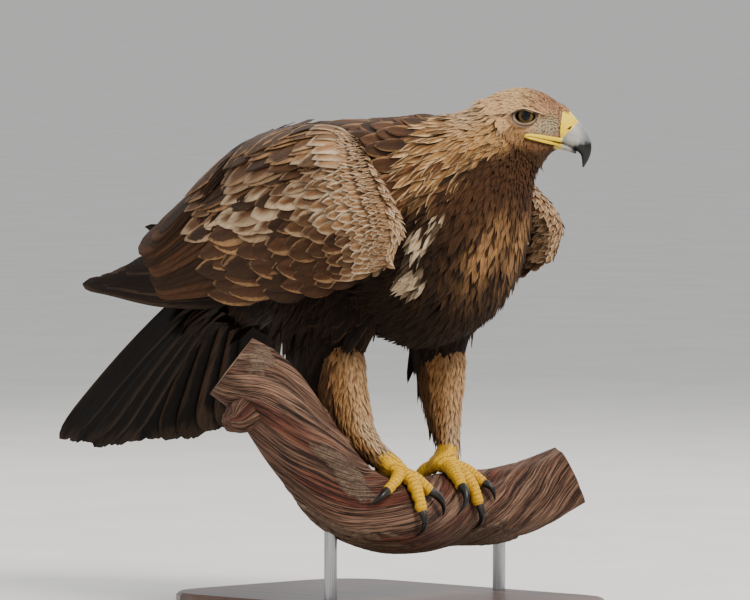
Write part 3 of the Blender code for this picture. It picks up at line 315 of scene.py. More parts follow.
def limb_point(rows, a, turn, grow=0.0):
    """A limb's surface from its top down; turn 0 is its rear and a quarter the bird's left."""
    rows = np.asarray(rows, float)
    a, turn = np.broadcast_arrays(np.asarray(a, float), np.asarray(turn, float))
    value = spline(rows, a)
    ahead = unit(spline(rows[:, :3], a + 0.04) - spline(rows[:, :3], a - 0.04))
    left = unit(np.array((0, 1, 0)) - ahead * ahead[..., 1:2])
    front = np.cross(left, ahead)
    q = (2 * np.pi * turn)[..., None]
    return STANCE + (value[..., :3] + front * (value[..., 3:4] + grow) * np.cos(q)
                     + left * (value[..., 4:5] + grow) * np.sin(q)) * MM


# Egg-shaped flesh at the tail's root and the rounded surface of its feathers: how far back from the root
# and below it, and half the length, width and height, m
RUMP, VENT = (0.030, 0.033, 0.076, 0.042, 0.034), (0.028, 0.033, 0.080, 0.048, 0.039)


def vent_point(a, turn):
    """The rounded underside between the legs and the tail, from its front end back."""
    back, left, up = tail_axes()
    behind, below, half_length, half_width, half_height = VENT
    centre = STANCE + TAIL_ROOT + back * behind - up * below
    q, r = np.pi * (0.02 + 0.96 * np.asarray(a)), 2 * np.pi * np.asarray(turn)
    return (centre - back * (half_length * np.cos(q))[..., None]
            + left * (half_width * np.sin(q) * np.cos(r))[..., None]
            + up * (half_height * np.sin(q) * np.sin(r))[..., None])


def wing_depth(a, b):
    """Thickness of the fleshy part of the wing."""
    edge = np.maximum(0.16, np.sin(np.pi * np.clip(b, 0.02, 0.98))) ** 0.5
    return (5 + 19 * (1 - smooth(a / 0.55))) * edge * (0.35 + 0.65 * smooth((a + 0.02) / 0.12)) * MM


# Rows round the wing's front edge, and the depth of the feathers over its flesh there
EDGE_ROWS, EDGE_FEATHERS = 12, 0.0075


def edge_grid(wing):
    """The wing's rounded front edge and its inner face, from the outer face round."""
    b = np.linspace(0.02, 0.98, 50)
    front, n = wing.at(0.02 + 0 * b, b), wing.normal(0.02 + 0 * b, b)
    if np.mean(np.sum(n * (front - WING_MIDDLE), -1)) < 0:
        n = -n
    ahead = -unit(wing.slopes(0.02 + 0 * b, b)[0])
    half = (wing_depth(0.03, b) + EDGE_FEATHERS)[:, None] / 2
    rows = [front - n * half + n * half * math.cos(q) + ahead * half * math.sin(q) * 0.8
            for q in np.linspace(0, math.pi, EDGE_ROWS + 1)]
    for a in np.linspace(0.045, 0.45, 18):
        inner = wing.normal(a + 0 * b, b)
        inner = inner * np.sign(np.sum(inner * n, -1))[:, None]
        rows.append(wing.at(a + 0 * b, b) - inner * (wing_depth(a, b) + EDGE_FEATHERS)[:, None])
    return np.array(rows)


def make_charts():
    """All the charts, each with its own field of the unwrap: left, low, wide and tall."""
    made = {
        "trunk": Chart(trunk_point(*grid_of(120, 128, True)), True, (0.01, 0.01, 0.30, 0.62)),
        "head": Chart(head_point(*grid_of(90, 96, True)), True, (0.01, 0.65, 0.30, 0.33)),
        "wing_right": Chart(wing_grid(-1), False, (0.33, 0.01, 0.20, 0.48)),
        "wing_left": Chart(wing_grid(1), False, (0.33, 0.51, 0.20, 0.48)),
        "tail": Chart(tail_point(*grid_of(60, 60)), False, (0.55, 0.51, 0.20, 0.48)),
    }
    limb = grid_of(60, 64, True)
    for left, side in ((0.55, "right"), (0.77, "left")):
        made["thigh_" + side] = Chart(limb_point(THIGHS[side], *limb), True, (left, 0.01, 0.20, 0.23))
        made["shank_" + side] = Chart(limb_point(SHANKS[side], *limb), True, (left, 0.26, 0.20, 0.23))
    made["vent"] = Chart(vent_point(*grid_of(40, 48, True)), True, (0.77, 0.51, 0.10, 0.48))
    for low, side in ((0.51, "right"), (0.75, "left")):
        made["edge_" + side] = Chart(edge_grid(made["wing_" + side]), False, (0.88, low, 0.10, 0.23))
    for name, chart in made.items():
        if name.startswith("edge"):
            out = chart.n[0] * (chart.p[0] - chart.p[EDGE_ROWS])
        elif name.startswith("wing"):
            out = chart.n * (chart.p - WING_MIDDLE)
        else:
            middle = chart.p.reshape(-1, 3).mean(0)
            out = chart.n * (chart.p - middle + (tail_axes()[2] if name == "tail" else 0))
        if np.mean(np.sum(out, -1)) < 0:
            chart.n = -chart.n
    return made


CHARTS = make_charts()


# Finishes

def put(tree, socket, value):
    """Joins a socket to another one, or sets its value."""
    if isinstance(value, bpy.types.NodeSocket):
        tree.links.new(value, socket)
    else:
        socket.default_value = value


def add_node(tree, kind, inputs=None, **settings):
    node = tree.nodes.new(kind)
    for key, value in settings.items():
        setattr(node, key, value)
    for key, value in (inputs or {}).items():
        put(tree, node.inputs[key], value)
    return node


class Finish:
    """A procedural material, with short ways to add its nodes."""

    def __init__(self, name, **sockets):
        self.material = bpy.data.materials.new(name)
        self.material.use_nodes = True
        self.tree = self.material.node_tree
        self.shader = self.tree.nodes["Principled BSDF"]
        for key, value in sockets.items():
            self.shader.inputs[key.replace("_", " ")].default_value = value

    def node(self, kind, inputs=None, **settings):
        return add_node(self.tree, "ShaderNode" + kind, inputs, **settings)

    def math(self, operation, *values):
        return self.node("Math", dict(enumerate(values)), operation=operation).outputs[0]

    def step(self, value, low, high, to_low=0.0, to_high=1.0):
        given = dict(enumerate((value, low, high, to_low, to_high)))
        return self.node("MapRange", given, interpolation_type="SMOOTHSTEP").outputs[0]

    def mixed(self, factor, first, second, mode="MIX"):
        given = {0: factor, 6: first, 7: second}
        for key, value in given.items():
            if not isinstance(value, (bpy.types.NodeSocket, float, int)):
                given[key] = (*value[:3], 1.0)
        return self.node("Mix", given, data_type="RGBA", blend_type=mode, clamp_factor=True).outputs[2]

    def times(self, colour, shade):
        """A colour darkened or lightened by another."""
        return self.mixed(1.0, colour, shade, "MULTIPLY")

    def joined(self, *values):
        """A vector from its parts."""
        return self.node("CombineXYZ", dict(enumerate(values))).outputs[0]

    def parts(self, vector):
        return self.node("SeparateXYZ", {0: vector}).outputs

    def noise(self, vector, scale, detail=4.0, rough=0.55, stretch=None):
        if stretch:
            vector = self.node("Mapping", {"Vector": vector, "Scale": stretch}).outputs[0]
        given = {"Vector": vector, "Scale": scale, "Detail": detail, "Roughness": rough}
        return self.node("TexNoise", given).outputs[0]

    def cells(self, scale):
        """How far places are from the borders of small cells."""
        given = {"Vector": self.place(), "Scale": scale}
        return self.node("TexVoronoi", given, feature="DISTANCE_TO_EDGE").outputs[0]

    def place(self):
        return self.node("TexCoord").outputs["Object"]

    def value(self, name, kind="Color"):
        """A value that the mesh holds."""
        return self.node("Attribute", attribute_name=name).outputs[kind]

    def put(self, name, value):
        put(self.tree, self.shader.inputs[name], value)

    def colour(self, value):
        self.put("Base Color", value)

    def bump(self, height, distance, strength=1.0):
        given = {"Height": height, "Distance": distance, "Strength": strength}
        self.put("Normal", self.node("Bump", given).outputs[0])


def feather_finish(name, roughness, barbs, sheen):
    """Feathers: a tint with a ragged, lopsided rim of another colour, a shaft, barbs and a root darkened partly
    for its down and partly as painted shade of the feathers over it.
    """
    f = Finish(name, Roughness=roughness, Sheen_Weight=sheen, Sheen_Roughness=0.5,
               Sheen_Tint=(0.7, 0.45, 0.28, 1), Specular_IOR_Level=0.06 + sheen)
    across, along = f.parts(f.node("UVMap", uv_map="Feather").outputs[0])[:2]
    signed = f.math("MULTIPLY_ADD", across, 2.0, -1.0)
    side = f.math("ABSOLUTE", signed)
    rim_width, streak, chance = f.parts(f.value("mark", "Vector"))
    slant = f.math("MULTIPLY_ADD", side, -0.30, along)
    barbed = f.joined(f.math("MULTIPLY", slant, 13.0), f.math("MULTIPLY", signed, 1.3),
                      f.math("MULTIPLY", chance, 60.0))
    wisps = f.noise(barbed, 1.0, 4.0, 0.6)
    cells = f.joined(f.math("MULTIPLY", signed, 1.6), f.math("MULTIPLY", along, 2.4),
                     f.math("MULTIPLY", chance, 90.0))
    mottle = f.noise(cells, 1.3, 3.0)
    tip = f.math("MULTIPLY_ADD", f.math("SUBTRACT", 1.0, along), -3.0, 1.0)
    lean = f.math("MULTIPLY", signed, f.math("MULTIPLY_ADD", chance, 0.9, -0.45))
    edge = f.math("ADD", f.math("MAXIMUM", side, tip), f.math("MULTIPLY_ADD", wisps, 0.7, -0.35))
    edge = f.math("ADD", f.math("ADD", edge, lean), f.math("MULTIPLY_ADD", mottle, 0.5, -0.25))
    rim_start = f.math("MULTIPLY_ADD", rim_width, -1.7, 1.0)
    rim = f.step(edge, rim_start, f.math("MULTIPLY_ADD", rim_width, -0.5, 1.05))
    comb = f.math("SINE", f.math("MULTIPLY_ADD", slant, barbs, f.math("MULTIPLY", wisps, 6.0)))
    comb = f.math("MULTIPLY_ADD", comb, 0.5, 0.5)
    tint = f.value("tint")
    dark = f.times(tint, (0.30, 0.22, 0.18))
    wavy = f.math("ADD", side, f.math("MULTIPLY_ADD", wisps, 0.5, -0.25))
    middle = f.math("MULTIPLY", f.step(wavy, 0.05, 0.55, 1.0, 0.0), streak)
    colour = f.mixed(rim, f.mixed(middle, tint, dark), f.value("rim"))
    # The lower part of each feather is darkened: partly its down, partly painted shade of the feathers that lie
    # over it.
    colour = f.mixed(f.step(along, 0.10, 0.62, 0.9, 0.0), colour, dark)
    colour = f.mixed(f.step(wisps, 0.40, 0.72, 0.0, 0.55), colour, dark)
    colour = f.mixed(f.math("MULTIPLY", f.math("SUBTRACT", 1.0, comb), 0.16), colour, dark)
    shaft = f.step(side, 0.0, 0.08, 1.0, 0.0)
    f.colour(f.mixed(f.math("MULTIPLY", shaft, 0.45), colour, f.times(tint, (0.55, 0.45, 0.4))))
    height = f.math("ADD", f.math("MULTIPLY_ADD", wisps, 1.6, comb), f.math("MULTIPLY", shaft, 1.2))
    f.bump(height, 0.0004, 0.8)
    return f.material


def skin_finish():
    f = Finish("down_and_skin", Roughness=0.95, Specular_IOR_Level=0.1)
    tint = f.value("tint")
    fluff = f.noise(f.place(), 240.0, 6.0, 0.7)
    f.colour(f.mixed(f.step(fluff, 0.3, 0.7, 0.75, 0.15), tint, f.times(tint, (0.35, 0.3, 0.26))))
    f.bump(fluff, 0.0015, 0.8)
    return f.material


# Meshes

def new_object(name, mesh):
    obj = bpy.data.objects.new(name, mesh)
    bpy.context.scene.collection.objects.link(obj)
    return obj


def mesh_of(name, points, faces):
    mesh = bpy.data.meshes.new(name)
    mesh.from_pydata([tuple(p) for p in np.asarray(points, float)], [], [tuple(map(int, f)) for f in faces])
    mesh.update()
    mesh.shade_smooth()
    return mesh


def quads(rows, columns, wrap=False):
    """Faces of a grid of points."""
    i, j = np.meshgrid(np.arange(rows - 1), np.arange(columns if wrap else columns - 1), indexing="ij")
    first, second = i * columns + j, i * columns + (j + 1) % columns
    return np.stack([first, second, second + columns, first + columns], -1).reshape(-1, 4)


def tube_of(name, rings):
    """A closed tube through rings of points."""
    rings = np.asarray(rings, float)
    count, around = rings.shape[:2]
    points = np.concatenate([rings.reshape(-1, 3), [rings[0].mean(0), rings[-1].mean(0)]])
    faces = quads(count, around, True).tolist()
    first, base = count * around, (count - 1) * around
    for q in range(around):
        r = (q + 1) % around
        faces += [(first, r, q), (first + 1, base + q, base + r)]
    return face_out(mesh_of(name, points, faces))


def path_axes(path, lean):
    """Two directions square to a path, the second of them upwards."""
    ahead = unit(np.gradient(path, axis=0))
    side = unit(np.cross(ahead, lean))
    return side, np.cross(side, ahead)


def rings_round(path, reach, first, second, around):
    """Rings of points round a path, from their reach at each of its points or at each ring's point."""
    reach = reach[:, None, None] if reach.ndim == 1 else reach[..., None]
    q = np.linspace(0, 2 * np.pi, around, endpoint=False)
    return path[:, None] + reach * (first[:, None] * np.cos(q)[None, :, None]
                                    + second[:, None] * np.sin(q)[None, :, None])


def face_out(mesh):
    made = bmesh.new()
    made.from_mesh(mesh)
    bmesh.ops.recalc_face_normals(made, faces=made.faces)
    if made.calc_volume(signed=True) < 0:
        bmesh.ops.reverse_faces(made, faces=made.faces)
    made.to_mesh(mesh)
    made.free()
    return mesh


def ball_of(name, centre, radii, axes=np.eye(3)):
    """An ellipsoid."""
    theta = np.linspace(0.02, np.pi - 0.02, 16)
    phi = np.linspace(0, 2 * np.pi, 24, endpoint=False)
    rings = np.stack([np.outer(np.sin(theta), np.cos(phi)), np.outer(np.sin(theta), np.sin(phi)),
                      np.outer(np.cos(theta), np.ones(24))], -1)
    return tube_of(name, np.asarray(centre) + (rings * np.asarray(radii)) @ np.asarray(axes))


def pipe_of(name, points, radii, around=12):
    """A tube along a path with a radius at each point."""
    points = np.asarray(points, float)
    return tube_of(name, rings_round(points, radii, *path_axes(points, (0.03, 0.02, 1.0)), around))


def joined(name, meshes):
    """One object from several meshes."""
    made = bmesh.new()
    for mesh in meshes:
        made.from_mesh(mesh)
        bpy.data.meshes.remove(mesh)
    whole = bpy.data.meshes.new(name)
    made.to_mesh(whole)
    made.free()
    whole.shade_smooth()
    return new_object(name, whole)


def remeshed(obj, size, passes=0):
    """Melts overlapping closed meshes into one surface."""
    melt = obj.modifiers.new("Melt", "REMESH")
    melt.mode, melt.voxel_size, melt.use_smooth_shade = "VOXEL", size, True
    if passes:
        ease = obj.modifiers.new("Ease", "SMOOTH")
        ease.factor, ease.iterations = 0.5, passes
    return bake_modifiers(obj)


def bake_modifiers(obj):
    graph = bpy.context.evaluated_depsgraph_get()
    mesh = bpy.data.meshes.new_from_object(obj.evaluated_get(graph), depsgraph=graph)
    old, name = obj.data, obj.data.name
    obj.modifiers.clear()
    obj.data = mesh
    bpy.data.meshes.remove(old)
    mesh.name = name
    return obj


def tree_of(points):
    """Finds the nearest of many points."""
    tree = KDTree(len(points))
    for i, point in enumerate(points):
        tree.insert(point, i)
    tree.balance()
    return tree


def coordinates(mesh):
    values = np.empty(len(mesh.vertices) * 3)
    mesh.vertices.foreach_get("co", values)
    return values.reshape(-1, 3)


def store(mesh, name, kind, values):
    """Writes one attribute of a mesh, with a value for each point."""
    layer = mesh.attributes.new(name, kind, "POINT")
    key = {"FLOAT_COLOR": "color", "FLOAT_VECTOR": "vector"}.get(kind, "value")
    values = np.asarray(values, float if kind != "INT" else int)
    if kind == "FLOAT_COLOR":
        values = np.concatenate([values, np.ones(values.shape[:-1] + (1,))], -1)
    layer.data.foreach_set(key, values.ravel())


def settle(obj, slot, material, *nodes):
    """Gives a finished piece its material, its place in the model and the nodes that it stands for."""
    if material is not None:
        obj.data.materials.clear()
        obj.data.materials.append(material)
    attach(obj, "root")
    if nodes:
        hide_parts(*nodes)
    return obj


# Colours of the plumage by place

BROWN = {
    "black": tone("120c08"), "bark": tone("21150d"), "dark": tone("3a2718"), "rich": tone("5b3b24"),
    "warm": tone("805838"), "tan": tone("a87e54"), "gold": tone("c9985c"), "buff": tone("dcb287"),
    "pale": tone("e9cba2"), "cream": tone("f3e2c8"), "grey": tone("4a382a"),
}


def hand(side):
    return "left" if side > 0 else "right"


def near(a, b, centre, reach):
    """How close places are to a centre: 1 there, fading to 0 about reach away."""
    return np.exp(-(((a - centre[0]) / reach[0]) ** 2 + ((b - centre[1]) / reach[1]) ** 2))


def vary(colours, chance, spread):
    """Gives each feather its own shade."""
    return np.clip(colours * (1 + spread * (2 * chance[:, None] - 1)), 0, 1)


def trunk_look(a, b, chance):
    """Tint, rim, rim width and dark streak of the trunk's and neck's feathers."""
    side = side_of(b)
    reach = 0.45 + 0.03 * smooth((a - 0.66) / 0.14) + 0.10 * (chance - 0.5)
    nape = smooth((a - 0.615) / 0.05) * (1 - smooth((side - reach) / 0.09))
    nape = np.maximum(nape, smooth((a - 0.90) / 0.08) * (1 - smooth((side - 0.50) / 0.14)))
    belly = 1 - smooth((a - 0.50) / 0.15)
    tint = mix(BROWN["bark"], BROWN["dark"], 0.6 * chance * (1 - 0.8 * belly))
    rim = mix(BROWN["dark"], BROWN["rich"], 0.7 * chance ** 2 * (1 - 0.8 * belly))
    tint, rim = mix(tint, BROWN["black"], belly * 0.5), mix(rim, BROWN["bark"], belly * 0.5)
    back = 1 - smooth((side - 0.30) / 0.25)
    tint, rim = mix(tint, BROWN["dark"], back), mix(rim, BROWN["warm"], back * 0.8)
    throat = smooth((a - 0.66) / 0.14) * smooth((side - 0.50) / 0.10)
    tint = mix(tint, mix(BROWN["dark"], BROWN["rich"], 0.5), throat)
    rim = mix(rim, BROWN["rich"] * 1.2, throat)
    tint = mix(tint, BROWN["rich"], smooth((a - 0.84) / 0.12) * smooth((side - 0.55) / 0.2) * 0.7)
    breast_tan = np.clip(near(a, side, (0.745, 0.89), (0.060, 0.085)) * 1.5, 0, 1) * (chance > 0.25)
    tint, rim = mix(tint, BROWN["tan"], breast_tan), mix(rim, BROWN["gold"], breast_tan)
    cream = near(a, side, (0.668, 0.62), (0.032, 0.034))
    cream = np.maximum(cream, near(a, side, (0.614, 0.695), (0.026, 0.040)))
    cream = np.maximum(cream, near(a, side, (0.722, 0.605), (0.016, 0.028)) * 0.85)
    cream = smooth(cream * 2.4 - 0.5) * (chance > 0.06)
    tint, rim = mix(tint, BROWN["pale"], cream * 0.95), mix(rim, BROWN["cream"], cream)
    top = smooth((a - 0.80) / 0.12)
    golden = mix(BROWN["gold"], BROWN["pale"], top * (1 - smooth((side - 0.2) / 0.2)) * 0.75)
    golden = mix(golden, BROWN["rich"], smooth((chance - 0.15) / 0.6) * 0.9 * (1 - top))
    tint, rim = mix(tint, golden, nape), mix(rim, mix(BROWN["pale"], BROWN["gold"], 0.40), nape)
    width = 0.13 + 0.16 * nape + 0.05 * back + 0.2 * cream
    streak = 0.35 + 0.45 * nape * (chance > 0.3) * (1 - top) - 0.3 * cream
    return vary(tint, chance, 0.28), vary(rim, 1 - chance, 0.15), width, streak


def head_look(points, chance):
    x, _, z = to_head(points).T
    tint = mix(tone("f4c88e"), tone("e2ab80"), smooth((x - 2) / 20))
    tint = mix(tint, tone("eebd85"), smooth((-x - 2) / 20) * 0.7)
    cheek = smooth((-z - 3) / 9) * smooth((15 - x) / 12)
    tint = mix(tint, tone("a9743c"), cheek * 0.85)
    low = smooth((-z - 17 + 0.1 * x) / 8)
    tint = mix(tint, BROWN["warm"], low)
    tint = mix(tint, BROWN["dark"], smooth((-z - 26 + 0.3 * np.minimum(x, 0)) / 8) * 0.7)
    lores = near(x, z, (27, -8), (12, 10))
    tint = mix(tint, tone("d2bf98"), np.clip(lores * 1.4, 0, 1))
    tint = mix(tint, tone("7d7458"), near(x, z, (17, -13.5), (8, 3.4)) * 0.8)
    tint = mix(tint, tone("96794f"), near(x, z, (21, 1.5), (7, 2.6)) * 0.8)
    behind = near(x, z, (-17, 6.0), (9, 1.5)) + near(x, z, (-12, -8), (12, 1.6)) * 0.5
    tint = mix(tint, BROWN["rich"], np.clip(behind * 1.2, 0, 0.9))
    rim = mix(tint, BROWN["cream"], 0.22 * (1 - 0.9 * low))
    crown = smooth((z - 10) / 5) * smooth((x + 4) / 14) * (((chance * 5.7) % 1.0) > 0.6)
    tint, rim = mix(tint, BROWN["rich"], crown * 0.6), mix(rim, BROWN["tan"], crown * 0.5)
    return vary(tint, chance, 0.10), vary(rim, 1 - chance, 0.08), 0.34 + 0.5 * lores, 0.06 + 0.4 * crown


def wing_look(a, b, chance):
    """The wing's coverts, by where their tips lie."""
    luck = (chance * 7.3) % 1.0
    tint = mix(BROWN["dark"], BROWN["rich"], luck)
    rim = mix(BROWN["warm"], BROWN["tan"], chance)
    width = 0.12 + 0.16 * luck
    wrist = 1 - smooth((a - 0.15 - 0.08 * luck) / 0.11)
    tint = mix(tint, mix(BROWN["tan"], BROWN["buff"], 0.15), wrist)
    rim = mix(rim, mix(BROWN["pale"], BROWN["cream"], 0.4), wrist * 0.95)
    width = width + (0.27 + 0.12 * luck - width) * wrist
    pale = near(a, b, (0.46, 0.60), (0.20, 0.13)) * smooth((a - 0.22) / 0.1)
    pale = np.clip(pale * 1.5, 0, 1) * smooth((luck - 0.25) / 0.3)
    tint, rim = mix(tint, BROWN["warm"], pale), mix(rim, BROWN["pale"], pale)
    width = width + 0.30 * pale
    top = (1 - smooth((b - 0.20) / 0.25)) * (1 - wrist)
    tint, rim = mix(tint, BROWN["dark"], top * 0.8), mix(rim, BROWN["tan"], top * 0.7)
    low = smooth((b - 0.66) / 0.12) * smooth((a - 0.12) / 0.08)
    tint = mix(tint, mix(BROWN["dark"], BROWN["rich"], 0.3 + 0.6 * chance), low)
    rim = mix(rim, BROWN["tan"], low * 0.9)
    width = width - 0.11 * low
    front = 1 - smooth((a - 0.03) / 0.05)
    rim = mix(rim, tint, front * 0.6)
    return vary(tint, chance, 0.30), vary(rim, 1 - luck, 0.18), width, 0.45 - 0.15 * pale


def edge_look(a, b, chance):
    """The wing's front edge is scaly and pale, and its inner face brown."""
    inner = smooth((a - 0.34 - 0.08 * chance) / 0.12)
    tint = mix(mix(BROWN["tan"], BROWN["buff"], 0.4), BROWN["black"], inner)
    rim = mix(mix(BROWN["pale"], BROWN["cream"], 0.4), BROWN["rich"], inner)
    rim = mix(rim, BROWN["bark"], smooth((a - 0.44) / 0.12))
    return vary(tint, chance, 0.25), vary(rim, 1 - chance, 0.15), 0.34 - 0.16 * inner, 0.25


def thigh_look(a, b, chance):
    tint = mix(BROWN["black"], BROWN["bark"], chance)
    return vary(tint, chance, 0.3), vary(BROWN["dark"], 1 - chance, 0.3), 0.14, 0.3


def shank_look(a, b, chance):
    turn = 1 - side_of(b)
    tint = mix(tone("ecbf8c"), tone("ca955c"), smooth((turn - 0.10) / 0.25))
    tint = mix(tint, BROWN["pale"], smooth((a - 0.55) / 0.3) * (1 - smooth((turn - 0.2) / 0.15)) * 0.8)
    rear = smooth((turn - 0.36 - 0.16 * (chance - 0.5)) / 0.16)
    tint = mix(tint, BROWN["rich"], rear * 0.85)
    tint = mix(tint, BROWN["warm"], (1 - smooth((a - 0.10) / 0.2)) * 0.6)
    rim = mix(tint, BROWN["pale"], 0.20 * (1 - rear))
    return vary(tint, chance, 0.20), vary(rim, 1 - chance, 0.10), 0.25, 0.2


def mantle_look(a, b, chance):
    tint = mix(BROWN["dark"], BROWN["rich"], chance)
    rim = mix(BROWN["warm"], BROWN["tan"], (chance * 7.3) % 1.0)
    return vary(tint, chance, 0.25), rim, 0.10 + 0.10 * chance, 0.35


def plain_look(tint, rim, width, streak, spread=0.18):
    """The same colours for every feather of a row, each in its own shade."""
    return lambda a, b, chance: (vary(tint, chance, spread), vary(rim, 1 - chance, spread), width, streak)


# Feathers

UNWRAP_PATCH = 0.003
# Scattering feathers: tries for each that fits, the share of the surface that they fill, and most tries
TRIES_EACH, FILL, MOST_TRIES = 7, 0.7, 140000
# Steps along a long feather, and where along it its colours are read
PATH_STEPS, COLOURED_AT = 40, 0.75


def blade_mesh(name, across, along, outline, camber, bend, ragged, seed):
    """One feather of length and width 1: along +Y from its root, with its back upwards."""
    rng = np.random.default_rng(seed)
    points, uvs = [], []
    teeth = rng.uniform(-1, 1, across) * ragged
    lean = rng.uniform(-0.04, 0.04)
    for t in 1 - (1 - np.linspace(0, 1, along)) ** 1.25:
        for s, tooth in zip(np.linspace(0, 1, across), teeth):
            side = 2 * s - 1
            wide = outline(t) * (1 + (rng.uniform(-1, 1) * ragged if abs(side) > 0.9 else 0))
            reach = t + tooth * smooth((t - 0.75) / 0.25) - 0.05 * side * side * t
            points.append((0.5 * side * wide + lean * t * t, reach,
                           -camber * side * side * wide - bend * t * t))
            uvs.append((s, t))
    mesh = mesh_of(name, points, quads(along, across))
    corners = np.empty(len(mesh.loops), int)
    mesh.loops.foreach_get("vertex_index", corners)
    mesh.uv_layers.new(name="Feather").data.foreach_set("uv", np.asarray(uvs)[corners].ravel())
    return mesh


def outline_of(root, rise, start, span, power, least, blunt=False, narrow=0.0):
    """How wide a feather is along itself: it widens from its root over the rise, may narrow
    half way, and closes over a span to a pointed or blunt tip."""
    def outline(t):
        closing = max(0.0, 1 - max(0.0, (t - start) / span) ** power)
        wide = (root + (1 - root) * smooth(t / rise)) * (1 - narrow * smooth((t - 0.45) / 0.5))
        return wide * max(least, math.sqrt(closing) if blunt else closing)
    return outline


ROUND = outline_of(0.45, 0.4, 0.60, 0.41, 2.2, 0.10, True)
LEAF = outline_of(0.5, 0.35, 0.45, 0.56, 2.0, 0.07)
HACKLE = outline_of(0.5, 0.3, 0.50, 0.51, 1.5, 0.05)
LANCE = outline_of(0.5, 0.3, 0.35, 0.66, 1.5, 0.06)
LONG = outline_of(0.5, 0.3, 0.84, 0.165, 2.6, 0.30, True)
QUILL = outline_of(0.5, 0.25, 0.90, 0.10, 2.0, 0.10, True, 0.55)


def laying_tree():
    """Sets a feather of one of three kinds at every point, turned and sized by the point's own values."""
    tree = bpy.data.node_groups.new("Lay feathers", "GeometryNodeTree")
    tree.is_modifier = True
    asked = (("Geometry", "Geometry"), ("Feather A", "Object"), ("Feather B", "Object"),
             ("Feather C", "Object"), ("Finish", "Material"), ("Unwrap patch", "Float"))
    for name, kind in asked:
        socket = tree.interface.new_socket(name=name, in_out="INPUT", socket_type="NodeSocket" + kind)
    socket.default_value = UNWRAP_PATCH
    tree.interface.new_socket(name="Geometry", in_out="OUTPUT", socket_type="NodeSocketGeometry")
    given = tree.nodes.new("NodeGroupInput").outputs

    def named(kind, name):
        made = add_node(tree, "GeometryNodeInputNamedAttribute", {"Name": name}, data_type=kind)
        return made.outputs["Attribute"]

    kinds = add_node(tree, "GeometryNodeGeometryToInstance")
    for letter in "CBA":
        info = add_node(tree, "GeometryNodeObjectInfo", {"Object": given["Feather " + letter]})
        tree.links.new(info.outputs["Geometry"], kinds.inputs[0])
    turn = add_node(tree, "FunctionNodeEulerToRotation", {0: named("FLOAT_VECTOR", "turn")})
    lay = add_node(tree, "GeometryNodeInstanceOnPoints",
                   {"Pick Instance": True, "Points": given["Geometry"], "Instance": kinds.outputs[0],
                    "Instance Index": named("INT", "kind"), "Rotation": turn.outputs[0],
                    "Scale": named("FLOAT_VECTOR", "size")})
    real = add_node(tree, "GeometryNodeRealizeInstances", {0: lay.outputs[0]})
    shift = add_node(tree, "ShaderNodeVectorMath",
                     {0: named("FLOAT_VECTOR", "Feather"), 1: (0.5, 0.5, 0.0)}, operation="SUBTRACT")
    small = add_node(tree, "ShaderNodeVectorMath",
                     {0: shift.outputs[0], "Scale": given["Unwrap patch"]}, operation="SCALE")
    place = add_node(tree, "ShaderNodeVectorMath", {0: small.outputs[0], 1: named("FLOAT_VECTOR", "root")})
    write = add_node(tree, "GeometryNodeStoreNamedAttribute",
                     {"Name": "OFBake", "Geometry": real.outputs[0]}, data_type="FLOAT2", domain="CORNER")
    tree.links.new(place.outputs[0], write.inputs["Value"])
    paint = add_node(tree, "GeometryNodeSetMaterial",
                     {"Geometry": write.outputs[0], "Material": given["Finish"]})
    add_node(tree, "NodeGroupOutput", {0: paint.outputs[0]})
    return tree


def angles_of(side, ahead, up):
    """Euler angles of many frames at once."""
    y = -np.arcsin(np.clip(side[:, 2], -1, 1))
    x = np.arctan2(ahead[:, 2], up[:, 2])
    z = np.arctan2(side[:, 1], side[:, 0])
    return np.stack([x, y, z], -1)


def steps_to(da, db, direction):
    """How much a and b change in one metre along a direction, from a chart's slopes."""
    g11, g12, g22 = np.sum(da * da, -1), np.sum(da * db, -1), np.sum(db * db, -1)
    r1, r2 = np.sum(da * direction, -1), np.sum(db * direction, -1)
    det = g11 * g22 - g12 ** 2
    return (g22 * r1 - g12 * r2) / det, (g11 * r2 - g12 * r1) / det


def dart_throw(chart, spacing, keep, seed, span=(0.0, 1.0)):
    """Evenly scattered places of a chart, about spacing(a, b) apart."""
    rng = np.random.default_rng(seed)
    rows, columns = chart.p.shape[:2]
    a, b = np.meshgrid(np.linspace(0, 1, rows), np.linspace(0, 1, columns, endpoint=not chart.wrap),
                       indexing="ij")
    a, b = a.ravel(), b.ravel()
    area = np.linalg.norm(np.cross(chart.da, chart.db), axis=-1).ravel() / ((rows - 1) * columns)
    weight = area / spacing(a, b) ** 2 * ((a >= span[0]) & (a <= span[1]))
    tries = int(min(MOST_TRIES, weight.sum() / FILL * TRIES_EACH))
    pick = rng.choice(len(weight), tries, p=weight / weight.sum())
    a = a[pick] + rng.uniform(-0.5, 0.5, tries) / (rows - 1)
    b = b[pick] + rng.uniform(-0.5, 0.5, tries) / columns
    if not chart.wrap:
        b = np.clip(b, 0, 1)
    a = np.clip(a, *span)
    points = chart.at(a, b)
    ok = keep(a, b, points)
    a, b, points = a[ok], b[ok], points[ok]
    gap = spacing(a, b)
    keys = np.floor(points / float(gap.max())).astype(int).tolist()
    near_by = [(i, j, k) for i in (-1, 0, 1) for j in (-1, 0, 1) for k in (-1, 0, 1)]
    places, gaps = points.tolist(), (gap ** 2).tolist()
    grid, taken = {}, []
    for n, ((x, y, z), (i, j, k)) in enumerate(zip(places, keys)):
        close = (places[m] for di, dj, dk in near_by for m in grid.get((i + di, j + dj, k + dk), ()))
        if all((p - x) ** 2 + (q - y) ** 2 + (r - z) ** 2 >= gaps[n] for p, q, r in close):
            grid.setdefault((i, j, k), []).append(n)
            taken.append(n)
    return a[taken], b[taken]


# Values of a feather while it is laid, and those that stay with it
LAID = {"turn": "FLOAT_VECTOR", "size": "FLOAT_VECTOR", "kind": "INT", "root": "FLOAT_VECTOR"}
WORN = {"tint": "FLOAT_COLOR", "rim": "FLOAT_COLOR", "mark": "FLOAT_VECTOR"}


